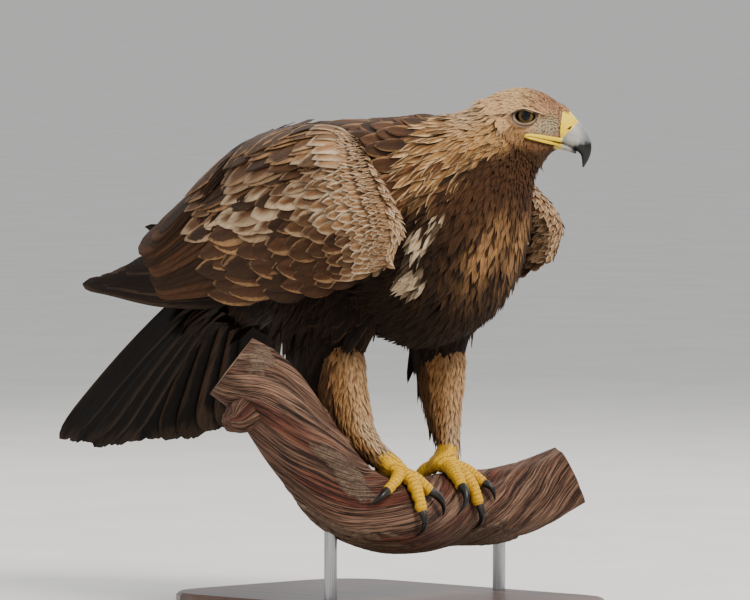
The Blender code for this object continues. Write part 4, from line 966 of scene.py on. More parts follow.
# First number of each coat's random draws
SEEDS = {
    "body_feathers": 3, "neck_hackles": 4, "head": 6, "thigh": 11, "shank": 15, "flight": 20, "coverts": 24,
    "scapulars": 28, "tail": 40, "mantle": 44, "vent": 50, "edge": 52,
}


class Coat:
    """Feathers gathered for one piece: scattered ones by points, and long ones as meshes of their own."""

    def __init__(self, seed):
        self.rng = np.random.default_rng(seed)
        self.clear()

    def clear(self):
        self.parts = {key: [] for key in ("place", *LAID, *WORN)}
        self.points, self.faces, self.values, self.count = [], [], [], 0

    def spread(self, n, share, low=-2):
        """Random factors about 1."""
        return 1 + share * self.rng.normal(0, 1, n).clip(low, 2)

    def scatter(self, chart, a, b, flow, length, width, look, depth, lift, splay=0.12,
                by_point=False):
        """Lays feathers at places of a chart: flow gives their directions, look their colours."""
        n = len(a)
        rng = self.rng
        chance = rng.uniform(0, 1, n)
        length = length * self.spread(n, 0.14)
        width = width * self.spread(n, 0.10)
        base, up = chart.at(a, b), chart.normal(a, b)
        da, db = chart.slopes(a, b)
        ahead = unit(flow(a, b, base, unit(da), unit(db)))
        ahead = unit(ahead - up * np.sum(ahead * up, -1)[:, None])
        side = np.cross(ahead, up)
        sway = (rng.normal(0, 1, n) * splay)[:, None]
        ahead = unit(ahead * np.cos(sway) + side * np.sin(sway))
        step_a, step_b = steps_to(da, db, ahead)
        ta, tb = a + length * step_a, b + length * step_b
        if not chart.wrap:
            tb = np.clip(tb, -0.02, 1.02)
        over = chart.normal(np.clip(ta, 0, 1), tb)
        lift = lift * self.spread(n, 0.45, -1.5)
        root = base - up * np.broadcast_to(depth, (n,))[:, None]
        tip = chart.at(ta, tb) + over * lift[:, None]
        far = np.linalg.norm(tip - base, axis=-1)
        tip = base + (tip - base) * np.minimum(1, 1.3 * length / np.maximum(far, 1e-6))[:, None]
        ahead = unit(tip - root)
        lifted = unit(up + over - ahead * np.sum((up + over) * ahead, -1)[:, None])
        roll = rng.normal(0, 0.09, n)[:, None]
        side = np.cross(ahead, lifted)
        side, lifted = (side * np.cos(roll) + lifted * np.sin(roll),
                        lifted * np.cos(roll) - side * np.sin(roll))
        tint, rim, rim_width, streak = look(base, chance) if by_point else look(a, b, chance)
        found = {
            "place": root, "turn": angles_of(side, ahead, lifted),
            "size": np.stack([width, length, width], -1), "kind": rng.integers(0, 3, n),
            "root": np.pad(chart.unwrap(a, b), ((0, 0), (0, 1))), "tint": tint, "rim": rim,
            "mark": np.stack([rim_width * self.spread(n, 0.3), np.broadcast_to(streak, (n,)), chance], -1),
        }
        for key, values in found.items():
            self.parts[key].append(values)

    def lay(self, name, tree, finish, outline, across, along, camber, bend, ragged):
        """Makes the scattered feathers of this coat a plain mesh."""
        kinds = {}
        for k, letter in enumerate("ABC"):
            blade = blade_mesh("feather_kind", across, along, outline, camber * (0.8 + 0.2 * k),
                               bend * (0.7 + 0.3 * k), ragged, 31 + k)
            kinds["Feather " + letter] = new_object("feather_kind", blade)
        values = {key: np.concatenate(found) for key, found in self.parts.items()}
        mesh = mesh_of(name, values["place"], [])
        for key, kind in {**LAID, **WORN}.items():
            store(mesh, key, kind, values[key])
        obj = new_object(name, mesh)
        layer = obj.modifiers.new("Feathers", "NODES")
        layer.node_group = tree
        given = {**kinds, "Finish": finish}
        for item in tree.interface.items_tree:
            if item.name in given:
                layer[item.identifier] = given[item.name]
        bake_modifiers(obj)
        for kind in kinds.values():
            old = kind.data
            bpy.data.objects.remove(kind)
            bpy.data.meshes.remove(old)
        for key in LAID:
            if key in obj.data.attributes:
                obj.data.attributes.remove(obj.data.attributes[key])
        obj.data.shade_smooth()
        self.clear()
        return obj

    def vane(self, chart, root, length, width, flow, look, *, sunk, lift, rise, roll=0.0,
             across=7, along=10, outline=LEAF, thick=0.0005, sway=0.0):
        """One long feather that follows a chart from its root, with both of its faces."""
        a, b = float(root[0]), float(root[1])
        path = []
        for _ in range(PATH_STEPS + 1):
            da, db = chart.slopes(a, b)
            fa, fb = flow(a, b)
            fb = fb + sway * fa * np.linalg.norm(da) / np.linalg.norm(db)
            scale = np.linalg.norm(da * fa + db * fb)
            path.append((a, b, *(da * fa + db * fb) / scale))
            a, b = a + fa / scale * length / PATH_STEPS, b + fb / scale * length / PATH_STEPS
        t = 1 - (1 - np.linspace(0, 1, along)) ** 1.3
        station = spline(path, t)
        a, b, ahead = station[:, 0], station[:, 1], unit(station[:, 2:])
        da, db = chart.slopes(a, b)
        ma, mb = steps_to(da, db, np.cross(unit(np.cross(da, db)), ahead))
        share = np.linspace(-0.5, 0.5, across)
        x = share[None, :] * width * np.array([outline(v) for v in t])[:, None]
        sa, sb = a[:, None] + ma[:, None] * x, b[:, None] + mb[:, None] * x
        out = chart.normal(sa, sb)
        height = (-sunk + (sunk + lift) * smooth(t / rise))[:, None] + x * roll
        ragged = self.rng.normal(0, 0.006, across)[None, :] * length * 0.35 * smooth((t - 0.7) / 0.3)[:, None]
        top = chart.at(sa, sb) + out * height[..., None] + ahead[:, None] * ragged[..., None]
        body = thick * (1 - 0.7 * np.abs(2 * share))[None, :] * (1 - 0.5 * t[:, None])
        low = top - out * body[..., None]
        self.points += [top.reshape(-1, 3), low.reshape(-1, 3)]
        place = np.arange(along * across).reshape(along, across)
        rim = np.concatenate([place[0], place[1:, -1], place[-1, -2::-1], place[-2:0:-1, 0]])
        after, half = np.roll(rim, -1), place.size
        border = np.stack([after, rim, rim + half, after + half], -1)
        over = quads(along, across)
        faces = np.concatenate([over, over[:, ::-1] + half, border])
        if np.sum(np.cross(da[0], db[0]) * chart.normal(a[:1], b[:1])[0]) > 0:
            faces = faces[:, ::-1]
        self.faces.append(faces + self.count)
        self.count += 2 * half
        shown = [np.array([np.interp(COLOURED_AT, t, values)]) for values in (a, b)]
        chance = self.rng.uniform(0, 1, 1)
        tint, edge, rim_width, streak = look(*shown, chance)
        mark = [float(np.ravel(value)[0]) for value in (rim_width, streak, chance)]
        uv = np.stack(np.broadcast_arrays(share + 0.5, t[:, None]), -1).reshape(-1, 2)
        root_uv = chart.unwrap(np.array([root[0]]), np.array([root[1]]))[0]
        self.values.append((2 * half, tint[0], edge[0], mark, np.concatenate([uv, uv]), root_uv))

    def weave(self, name, finish):
        """Makes the long feathers of this coat one object."""
        points, faces = np.concatenate(self.points), np.concatenate(self.faces)
        mesh = bpy.data.meshes.new(name)
        mesh.vertices.add(len(points))
        mesh.vertices.foreach_set("co", points.ravel())
        mesh.loops.add(len(faces) * 4)
        mesh.loops.foreach_set("vertex_index", faces.ravel())
        mesh.polygons.add(len(faces))
        mesh.polygons.foreach_set("loop_start", np.arange(len(faces)) * 4)
        mesh.update(calc_edges=True)
        for index, (key, kind) in enumerate(WORN.items(), 1):
            store(mesh, key, kind, np.concatenate([np.tile(v[index], (v[0], 1)) for v in self.values]))
        uv = np.concatenate([v[4] for v in self.values])
        roots = np.concatenate([np.tile(v[5], (v[0], 1)) for v in self.values])
        corners = faces.ravel()
        baked = roots[corners] + (uv[corners] - 0.5) * UNWRAP_PATCH
        for layer, values in (("Feather", uv[corners]), ("OFBake", baked)):
            mesh.uv_layers.new(name=layer).data.foreach_set("uv", values.ravel())
        mesh.validate()
        mesh.shade_smooth()
        mesh.materials.append(finish)
        self.clear()
        return new_object(name, mesh)


# Skin

# Hollow round each eye: its middle from the eye's, its half length and half height, the plane
# that it starts from and its depth, mm
EYE_HOLLOW = (-1.6, -1.8, 15.6, 12.4, 29.0, 11.0)
# Flesh of the left shoulder: its middle from the stance and its half sizes, m
SHOULDER, SHOULDER_SIZE = (-0.010, 0.074, 0.284), (0.054, 0.023, 0.034)
# How deep the skin lies under the feathers of head and shanks, and how much darker than those feathers the skin
# is painted, as painted shade under them
HEAD_COAT, SHANK_COAT, SKIN_PAINTED_SHADE = 0.0018, 2.2 * MM, 0.55


def make_skin(depth, voxel):
    """One skin for head, neck, trunk, thighs, shanks and the fleshy parts of the wings and tail."""
    solids = [tube_of("trunk", trunk_point(*grid_of(60, 48, True), -depth))]
    head = head_point(*grid_of(46, 48, True))
    solids.append(tube_of("head", head - unit(head - head.mean(1, keepdims=True)) * HEAD_COAT))
    for side, sign in (("right", -1), ("left", 1)):
        a, turn = grid_of(26, 32, True)
        solids.append(tube_of("thigh", limb_point(THIGHS[side], a * 0.98, turn, -depth / MM * 0.8)))
        solids.append(tube_of("shank", limb_point(SHANKS[side], a, turn, -SHANK_COAT / MM)))
        chart = CHARTS["wing_" + side]
        a, b = np.meshgrid(np.linspace(0.005, 0.54, 14), np.linspace(0.03, 0.97, 14), indexing="ij")
        p, n = chart.at(a, b), chart.normal(a, b)
        top, low = p - n * 0.0035, p - n * (0.004 + wing_depth(a, b))[..., None]
        solids.append(tube_of("wing", np.concatenate([top, low[:, ::-1]], 1)))
        middle = STANCE + np.array(SHOULDER) * (1, sign, 1)
        solids.append(ball_of("shoulder", middle, SHOULDER_SIZE))
    axes = tail_axes()
    middle = STANCE + TAIL_ROOT + axes[0] * RUMP[0] - axes[2] * RUMP[1]
    solids.append(ball_of("rump", middle, RUMP[2:], axes))
    for side in (1, -1):
        line = spline(BROW, np.linspace(0, 1, 20))
        path = [head_place(x, side * (head_side(x, z) - 2.6 + out), z) for x, z, _, out in line]
        solids.append(pipe_of("brow", path, line[:, 2] * MM * 0.9, 12))
    skin = remeshed(joined("skin", solids), voxel, 5)
    points = coordinates(skin.data)
    place = to_head(points)
    ahead, above, half_length, half_height, plane, dip = EYE_HOLLOW
    for side in (1, -1):
        x = (place[:, 0] - EYE[0] - ahead) / half_length
        z = (place[:, 2] - EYE[2] - above) / half_height
        inside = (x * x + z * z < 1) & (side * place[:, 1] > 14)
        floor = plane - dip * np.sqrt(np.clip(1 - x * x - z * z, 0, 1))
        inside[inside] = side * place[inside, 1] > floor[inside]
        place[inside, 1] = side * floor[inside]
    changed = np.linalg.norm(place - to_head(points), axis=1) > 1e-6
    points[changed] = head_place(*place[changed].T)
    skin.data.vertices.foreach_set("co", points.ravel())
    paint_skin(skin, points)
    return skin


def paint_skin(skin, points):
    """The skin has the markings of the feathers that grow on it, darkened as painted shade under them."""
    anchors, tints = [], []
    rng = np.random.default_rng(5)
    for name, chart in CHARTS.items():
        a, b = (values[::2, ::2].ravel() for values in grid_of(*chart.p.shape[:2], chart.wrap))
        anchors.append(chart.p[::2, ::2].reshape(-1, 3))
        chance = rng.uniform(0.3, 0.7, len(a))
        look = LOOKS[name.split("_")[0]]
        tints.append(look(anchors[-1], chance)[0] if name == "head" else look(a, b, chance)[0])
    tree = tree_of(np.concatenate(anchors))
    nearest = [tree.find(p)[1] for p in points]
    # The feathers' colours are darkened here as painted shade under the feathers.
    store(skin.data, "tint", "FLOAT_COLOR", np.concatenate(tints)[nearest] * SKIN_PAINTED_SHADE)


LOOKS = {
    "trunk": trunk_look, "head": head_look, "wing": wing_look, "thigh": thigh_look, "shank": shank_look,
    "tail": lambda a, b, chance: (BROWN["black"] + 0 * a[:, None],), "vent": thigh_look, "edge": edge_look,
}


# Lie of the plumage and sizes of its feathers

def trunk_flow(a, b, base, ua, ub):
    """Feathers run from head to tail, and droop on the neck and breast."""
    droop = 0.10 + 0.16 * smooth((a - 0.55) / 0.2)
    return -ua + np.array((0, 0, -1.0)) * droop[:, None]


def head_flow(a, b, base, ua, ub):
    """Back from the bill, and down over the cheeks."""
    fall = 0.75 * smooth((4 - to_head(base)[:, 2]) / 18) + 0.15
    return -ua + np.array((0, 0, -1.0)) * fall[:, None]


def limb_flow(a, b, base, ua, ub):
    return ua + np.array((-0.25, 0, -0.35))


def vent_flow(a, b, base, ua, ub):
    return tail_axes()[0] + 0 * base


def edge_flow(a, b, base, ua, ub):
    return ua * (0.25 + 0.75 * smooth(a / 0.35))[:, None] + ub * (1 - 0.6 * smooth(a / 0.5))[:, None]


def wing_flow(a, b):
    """Back along the wing, slanting down across it away from its lower edge."""
    slant = 0.35 + 1.55 * smooth(a / 0.34) + 3.0 * (1 - smooth((a + 0.01) / 0.15))
    return 1.0, float(slant * max(0.0, 0.97 - b) ** 1.15)


def tail_flow(a, b):
    return 1.0, 0.0


def trunk_sizes(a, b):
    """Length and width of the trunk's feathers, and the space between their roots."""
    side = side_of(b)
    neck = smooth((a - 0.60) / 0.10) * (1 - smooth((side - 0.55) / 0.15))
    front = smooth((side - 0.45) / 0.2)
    top = smooth((a - 0.73) / 0.23)
    mantle = (1 - smooth((side - 0.30) / 0.20)) * (1 - neck)
    length = 0.027 + 0.016 * mantle + 0.006 * neck - 0.017 * top
    width = 0.0145 + 0.009 * mantle - 0.0035 * neck - 0.0055 * front - 0.0050 * top
    gap = 0.0085 + 0.0030 * mantle - 0.0012 * neck - 0.0020 * front - 0.0034 * top
    fine = 0.70 + 0.10 * neck + 0.25 * mantle
    width, gap = np.maximum(width * fine, 0.0036), np.maximum(gap * fine, 0.0026)
    return length * (0.6 + 0.4 * fine), width, gap


def head_sizes(points):
    x, _, z = to_head(points).T
    back = smooth((2 - x) / 34)
    face = smooth((x - 4) / 30)
    eye = np.exp(-(((x - EYE[0]) / 15) ** 2 + ((z - EYE[2]) / 13) ** 2) ** 2)
    length = (0.0078 + 0.0070 * back - 0.0040 * face) * (1 - 0.4 * eye)
    width = 0.0025 + 0.0017 * back - 0.0010 * face
    gap = 0.0017 + 0.0009 * back - 0.0003 * face
    return length, width, gap


def under_wing(points):
    """Which points are hidden well inside a folded wing."""
    hidden = np.zeros(len(points), bool)
    for chart in (CHARTS["wing_right"], CHARTS["wing_left"]):
        rows, columns = chart.p[::2, ::2].shape[:2]
        p, n = chart.p[::2, ::2].reshape(-1, 3), chart.n[::2, ::2].reshape(-1, 3)
        tree = tree_of(p)
        nearest = np.array([tree.find(place)[1] for place in points], int)
        away = points - p[nearest]
        below = -np.sum(away * n[nearest], -1)
        inside = (below > 0.010) & (np.linalg.norm(away, axis=-1) < below + 0.004)
        hidden |= inside & (nearest // columns > 0.16 * rows)
    return hidden


# Bare ellipses round each eye: their middle from the eye's, half length and half height, mm
BARE_EYE = [(-2.1, -1.8, 13.6, 10.6), (1.6, -0.4, 13.8, 10.6)]


def bare_face(points):
    """Where no feather grows: the eye, the lips and the bill's base."""
    x, _, z = to_head(points).T
    eye = np.zeros(len(x), bool)
    for ahead, above, half_length, half_height in BARE_EYE:
        eye |= ((x - EYE[0] - ahead) / half_length) ** 2 + ((z - EYE[2] - above) / half_height) ** 2 < 1
    eye &= z < np.interp(x, *np.array(BROW_EDGE).T[:2]) + 0.4
    bare = eye | (x > 37.6) & (z > -24) & (z < 5.2 - 0.34 * (x - 38)) | (x > 43) & (z < 0)
    for rows, reach in ((UPPER_LIP, 2.6), (LOWER_LIP, 2.2)):
        line = spline(rows, np.linspace(0, 1, 40))
        bare |= (np.abs(z - np.interp(x, line[:, 0], line[:, 1])) < reach) & (x > 2.6)
    return bare


def needs_feathers(a, b, points):
    """Which places of the trunk the folded wings and the tail leave open."""
    shown = (side_of(b) >= 0.30) | (a >= 0.30)
    shown[shown] = ~under_wing(points[shown])
    return shown


# Where along the trunk the neck's hackles begin
NECK_FROM = 0.66


def groom_trunk(tree, finish):
    """Feathers of the trunk and neck, in two pieces."""
    made = []
    chart = CHARTS["trunk"]
    for name, span, shape in (("body_feathers", (0.0, NECK_FROM), (LEAF, 5, 6, 0.14, 0.16, 0.07)),
                              ("neck_hackles", (NECK_FROM, 1.0), (HACKLE, 5, 7, 0.16, 0.20, 0.03))):
        coat = Coat(SEEDS[name])
        a, b = dart_throw(chart, lambda a, b: trunk_sizes(a, b)[2], needs_feathers, SEEDS[name], span)
        length, width, _ = trunk_sizes(a, b)
        lift = 0.0022 - 0.0016 * smooth((a - 0.75) / 0.15)
        coat.scatter(chart, a, b, trunk_flow, length, width, trunk_look, 0.0045, lift)
        made.append(coat.lay(name, tree, finish, *shape))
    return made


def groom_hollows(tree, finish):
    """Feathers of the vent and of the wings' front edges and inner faces."""
    coat = Coat(SEEDS["vent"])
    chart = CHARTS["vent"]
    a, b = dart_throw(chart, lambda a, b: 0.0085 + 0 * a, lambda a, b, points: a > 0.06, SEEDS["vent"])
    coat.scatter(chart, a, b, vent_flow, 0.045, 0.013, thigh_look, 0.004, 0.003)
    vent = coat.lay("vent_feathers", tree, finish, LEAF, 5, 6, 0.14, 0.2, 0.06)
    sizes = lambda a, b: 0.0040 + 0.0050 * smooth((a - 0.4) / 0.2)
    for k, side in enumerate(("right", "left")):
        chart = CHARTS["edge_" + side]
        a, b = dart_throw(chart, sizes, everywhere, SEEDS["edge"] + k)
        wide = sizes(a, b)
        coat.scatter(chart, a, b, edge_flow, wide * 2.9, wide * 1.45, edge_look, 0.0015, 0.0009)
    return vent, coat.lay("wing_edge_feathers", tree, finish, LEAF, 5, 5, 0.08, 0.08, 0.03)


def everywhere(a, b, points):
    return np.ones(len(a), bool)


# Rows of long feathers over the shoulders: where along the trunk they root, their number, length and width
# in mm, how far their tips stand off, mm, and how far they spread to each side, in turns
MANTLE_ROWS = [(0.325, 7, 88, 38, 7, 0.11), (0.385, 8, 84, 36, 8, 0.13), (0.440, 9, 78, 34, 9, 0.155),
               (0.490, 10, 70, 31, 10, 0.18), (0.535, 11, 60, 28, 10, 0.20), (0.575, 12, 50, 25, 9, 0.215),
               (0.610, 12, 42, 22, 8, 0.225), (0.640, 13, 36, 19, 6, 0.23)]


def make_mantle(finish):
    """Long feathers of back and shoulders, which close over the wings' upper edges."""
    coat = Coat(SEEDS["mantle"])
    for row, (place, count, length, width, lift, spread) in enumerate(MANTLE_ROWS):
        for k in range(count):
            turn = spread * (2 * (k + 0.25 + 0.5 * (row % 2)) / count - 1)
            outward = abs(turn) / spread
            coat.vane(CHARTS["trunk"], (place + coat.rng.uniform(-0.008, 0.008) - 0.02 * outward, turn),
                      length * coat.rng.uniform(0.88, 1.1) * MM, width * coat.rng.uniform(0.88, 1.08) * MM,
                      lambda a, b: (-1.0, 0.25 * turn), mantle_look, sunk=0.004,
                      lift=(4 + (lift - 4) * outward) * coat.rng.uniform(0.85, 1.15) * MM, rise=0.95,
                      roll=0.07 + coat.rng.uniform(-0.03, 0.03), sway=coat.rng.normal(0, 0.06))
    return coat.weave("mantle_feathers", finish)


def groom_head(tree, finish):
    coat = Coat(SEEDS["head"])
    chart = CHARTS["head"]
    sizes = lambda a, b: head_sizes(chart.at(a, b))[2]
    a, b = dart_throw(chart, sizes, lambda a, b, points: ~bare_face(points), SEEDS["head"])
    base = chart.at(a, b)
    length, width, _ = head_sizes(base)
    x, _, z = to_head(base).T
    front, lores = smooth((x - 36) / 2), near(x, z, (26, -8), (13, 11))
    coat.scatter(chart, a, b, head_flow, length, width, head_look, 0.0012 - 0.0016 * front,
                 0.0005 * (1 - 0.8 * lores) + 0.0012 * front, 0.10, True)
    return coat.lay("head_feathers", tree, finish, LEAF, 5, 5, 0.10, 0.10, 0.02)


def groom_legs(tree, finish, name, look, sizes, outline):
    """Feathers of both thighs or both shanks."""
    coat = Coat(SEEDS[name])
    for k, side in enumerate(("right", "left")):
        chart = CHARTS[name + "_" + side]
        a, b = dart_throw(chart, lambda a, b: sizes(a)[2], everywhere, SEEDS[name] + k)
        length, width, _, depth, lift = sizes(a)
        rear = smooth(1 - 1.6 * side_of(b))
        coat.scatter(chart, a, b, limb_flow, length * (1 + 0.7 * rear), width, look, depth,
                     lift * (1 + 2.0 * rear))
    return coat.lay(name + "_feathers", tree, finish, outline, 5, 6, 0.2, 0.25, 0.05)


def thigh_sizes(a):
    """Length, width, space between the roots, depth of the roots and height of the tips."""
    lower = smooth((a - 0.55) / 0.4)
    return 0.036 + 0.012 * lower, 0.0095, 0.0062 - 0.001 * lower, 0.004 - 0.001 * lower, 0.003


def shank_sizes(a):
    low = smooth((a - 0.3) / 0.6)
    end = smooth((a - 0.86) / 0.12)
    return (0.0140 - 0.0040 * low + 0.0075 * end, 0.0036 - 0.0006 * low, 0.0034 - 0.0006 * low, 0.0015,
            0.0010 + 0.0012 * end)


# Wings and tail, feather by feather

# Rows of coverts from the flight feathers forwards: where along the wing they root, their number, length
# and width in mm, and how far their tips stand over the wing, mm
COVERT_ROWS = [
    (0.420, 17, 100, 32, 4.4), (0.345, 19, 84, 30, 5.2), (0.285, 20, 70, 27, 5.6),
    (0.232, 21, 58, 24, 5.6), (0.186, 22, 48, 21, 5.0), (0.148, 25, 39, 17, 4.4),
    (0.117, 28, 32, 14, 3.8), (0.092, 31, 26, 11.5, 3.2), (0.071, 34, 21, 9.5, 2.7),
    (0.053, 37, 18, 8.2, 2.3), (0.037, 40, 15, 7.2, 1.9), (0.022, 42, 13, 6.6, 1.6),
    (0.008, 42, 12, 6.2, 1.3), (0.490, 15, 104, 31, 5.8),
]
SCAPULARS = [(0.335, 7, 96, 40, 7.4), (0.255, 7, 84, 37, 8.0), (0.175, 7, 72, 34, 8.0),
             (0.105, 7, 60, 30, 7.4), (0.045, 7, 48, 26, 6.4)]


def quill_row(coat, chart, first, last, count, lengths, widths, lift, stack, look, outline):
    """A row of flight feathers between two roots."""
    for k in range(count):
        share = k / (count - 1)
        a = first[0] + (last[0] - first[0]) * share + coat.rng.uniform(-0.004, 0.004)
        b = first[1] + (last[1] - first[1]) * share
        length = (lengths[0] + (lengths[1] - lengths[0]) * share) * coat.rng.uniform(0.975, 1.025)
        width = widths[0] + (widths[1] - widths[0]) * share
        coat.vane(chart, (a, b), length * MM, width * MM, wing_flow, look, sunk=0.0034,
                  lift=(lift + stack * (count - 1 - k)) * MM, rise=0.35, roll=0.13, across=9, along=18,
                  outline=outline, thick=0.0009)


def make_wing(side, finishes):
    """One folded wing: flight feathers, coverts in rows, and scapulars over its upper edge."""
    name = "wing_" + hand(side)
    chart = CHARTS[name]
    flight = Coat(SEEDS["flight"] + side)
    quill_row(flight, chart, (0.49, 0.56), (0.545, 0.975), 10, (236, 308), (33, 33), 0.2, -0.31,
              plain_look(BROWN["bark"], BROWN["grey"], 0.10, 0.3), QUILL)
    quill_row(flight, chart, (0.48, 0.20), (0.50, 0.88), 13, (214, 186), (44, 40), 1.5, 0.0,
              plain_look(BROWN["dark"] * 1.1, BROWN["rich"], 0.10, 0.3, 0.3), LONG)
    quill_row(flight, chart, (0.45, 0.02), (0.46, 0.16), 4, (192, 205), (46, 46), 3.0, 0.0,
              plain_look(BROWN["dark"] * 0.9, BROWN["rich"], 0.12, 0.3), LONG)
    made = [flight.weave(name + "_flight_feathers", finishes[0])]
    coat = Coat(SEEDS["coverts"] + side)
    for row, (place, count, length, width, lift) in enumerate(COVERT_ROWS):
        for k in range(count):
            share = (k + 0.5 * (row % 2)) / (count - 0.5)
            b = 0.01 + 0.965 * share
            if place > 0.05:
                bow = 0.045 * math.sin(math.pi * min(1, b)) - 0.03 * b
            else:
                bow = 0.01 * math.sin(math.pi * b)
            a = place + bow + coat.rng.uniform(-0.006, 0.006)
            size = coat.rng.uniform(0.93, 1.07) * (1 - 0.12 * b)
            small = 1.0 if b < 0.9 else 1 - 1.6 * (b - 0.9)
            size, slim = size * coat.rng.uniform(0.88, 1.12), coat.rng.uniform(0.82, 1.08)
            coat.vane(chart, (a, b), length * size * MM, width * slim * small * MM, wing_flow, wing_look,
                      sunk=0.0030, lift=lift * coat.rng.uniform(0.75, 1.25) * MM, rise=0.95,
                      roll=(0.06 + 0.05 * smooth((place - 0.03) / 0.2)) * coat.rng.uniform(0.6, 1.4),
                      along=9, sway=coat.rng.normal(0, 0.07))
    made.append(coat.weave(name + "_coverts", finishes[1]))
    coat = Coat(SEEDS["scapulars"] + side)
    for row, (place, count, length, width, lift) in enumerate(SCAPULARS):
        for k in range(count):
            b = -0.03 + 0.34 * (k + 0.5 * (row % 2)) / (count - 0.5)
            a = place + coat.rng.uniform(-0.008, 0.008)
            size = coat.rng.uniform(0.92, 1.08)
            coat.vane(chart, (a, max(b, 0.0)), length * size * MM, width * size * MM, wing_flow, wing_look,
                      sunk=0.0025, lift=lift * coat.rng.uniform(0.9, 1.1) * MM, rise=0.95,
                      roll=0.09 + coat.rng.uniform(-0.03, 0.03), sway=coat.rng.normal(0, 0.06))
    made.append(coat.weave(name + "_scapulars", finishes[2]))
    return made


# Rows of feathers over and under the tail's root: where they root, their length and their number
UPPER_TAIL_ROWS = [(0.06, 0.112, 9), (0.0, 0.105, 8), (-0.06, 0.095, 7)]
UNDER_TAIL_ROWS = [(0.14, 0.120, 11), (0.09, 0.120, 11), (0.04, 0.115, 10), (-0.01, 0.110, 9)]


def make_tail(finish):
    chart = CHARTS["tail"]
    coat = Coat(SEEDS["tail"])
    dark = plain_look(BROWN["black"], BROWN["grey"] * 0.7, 0.12, 0.3, 0.4)
    for k in range(6):
        for side in (1, -1):
            b = side * (0.09 + (0.80 if side > 0 else 0.91) * k / 5)
            length = TAIL_LENGTH * (1.0 - 0.05 * (k / 5) ** 2 + 0.008 * ((k * 7) % 3)) * 1.015
            coat.vane(chart, (0.02, (b + 1) / 2), length, 0.055 - 0.001 * k, tail_flow, dark, sunk=0.0,
                      lift=(-1.55 * k - (0.8 if side < 0 else 0)) * MM, rise=0.05, across=9, along=20,
                      outline=LONG, thick=0.0009)
    upper = plain_look(BROWN["bark"] * 1.3, BROWN["rich"], 0.12, 0.3)
    for row, (root, length, count) in enumerate(UPPER_TAIL_ROWS):
        for k in range(count):
            b = 0.5 + 0.40 * (2 * (k + 0.5) / count - 1)
            coat.vane(chart, (root, b), length * (1 - 0.25 * (2 * b - 1) ** 2), 0.034, tail_flow, upper,
                      sunk=-0.001, lift=(3.0 + 1.6 * row) * MM, rise=0.8, roll=0.09, outline=ROUND)
    under = plain_look(BROWN["bark"] * 1.2, BROWN["dark"], 0.12, 0.3, 0.4)
    for row, (root, length, count) in enumerate(UNDER_TAIL_ROWS):
        for k in range(count):
            b = 0.5 + 0.40 * (2 * (k + 0.5 * (row % 2) + 0.25) / count - 1)
            size = coat.rng.uniform(0.85, 1.15) * (1 - 0.25 * (2 * b - 1) ** 2)
            coat.vane(chart, (root, b), length * size, 0.026, tail_flow, under, sunk=(34 - 4 * row) * MM,
                      lift=-(11.0 + 3.0 * row) * MM, rise=0.95, roll=0.09 + coat.rng.uniform(-0.04, 0.04),
                      sway=coat.rng.normal(0, 0.06))
    return coat.weave("tail_feathers", finish)


# Head: eyes, lids, cere and bill

def head_shift(points, side):
    """Places local points (forward, outward, up, in mm) about an eye into the model."""
    points = np.asarray(points, float)
    turn = math.radians(3)
    x = points[..., 0] * math.cos(turn) + points[..., 1] * math.sin(turn)
    y = points[..., 1] * math.cos(turn) - points[..., 0] * math.sin(turn)
    return head_place(EYE[0] - 1.2 + x, side * (EYE[1] + y), EYE[2] - 0.9 + points[..., 2])


def eye_finish():
    """Amber-olive iris with fine spokes round a dark pupil, under a wet clear front."""
    f = Finish("eye_amber", Roughness=0.4, Coat_Weight=0.22, Coat_Roughness=0.03, Specular_IOR_Level=0.05)
    across, _, height = f.parts(f.value("eye", "Vector"))
    squares = f.math("ADD", f.math("POWER", across, 2.0), f.math("POWER", height, 2.0))
    reach = f.math("SQRT", squares)
    angle = f.math("ARCTAN2", across, height)
    ray = f.joined(f.math("MULTIPLY", f.math("SINE", angle), 9.0),
                   f.math("MULTIPLY", f.math("COSINE", angle), 9.0), f.math("MULTIPLY", reach, 0.25))
    spokes = f.noise(ray, 1.8, 5.0, 0.7)
    iris = f.mixed(f.step(spokes, 0.3, 0.7), tone("5f4a26"), tone("302412"))
    iris = f.mixed(f.step(reach, 4.6, 6.0), iris, f.mixed(0.5, iris, tone("7d683f")))
    iris = f.mixed(f.step(reach, 6.6, 7.8), iris, tone("120c07"))
    f.colour(f.mixed(f.step(reach, 4.2, 4.6, 1.0, 0.0), iris, (0.004, 0.004, 0.005)))
    f.bump(spokes, 0.0001, 0.4)
    return f.material


def make_eye(side, finish):
    """An eyeball with a slightly bulging clear front."""
    t = np.linspace(0.002, math.pi * 0.86, 40)
    q = np.linspace(0, 2 * math.pi, 48, endpoint=False)
    bulge = EYE_RADIUS * (1 + 0.035 * np.exp(-(t / 0.55) ** 2))
    local = np.stack([np.outer(bulge * np.sin(t), np.cos(q)), np.outer(bulge * np.cos(t), np.ones(48)),
                      np.outer(bulge * np.sin(t), np.sin(q))], -1)
    mesh = tube_of("eyeball", head_shift(local, side))
    store(mesh, "eye", "FLOAT_VECTOR", np.concatenate([local.reshape(-1, 3), local[[0, -1]].mean(1)]))
    settle(new_object("eyeball_" + hand(side), mesh), "eye", finish, "eye_" + hand(side))


def lid_finish():
    f = Finish("eyelid_skin", Roughness=0.6, Specular_IOR_Level=0.35)
    tint = f.value("tint")
    pores = f.noise(f.place(), 900.0, 4.0)
    f.colour(f.mixed(f.step(pores, 0.35, 0.65, 0.0, 0.35), tint, f.times(tint, (0.5, 0.45, 0.4))))
    f.bump(pores, 0.0003, 0.6)
    return f.material


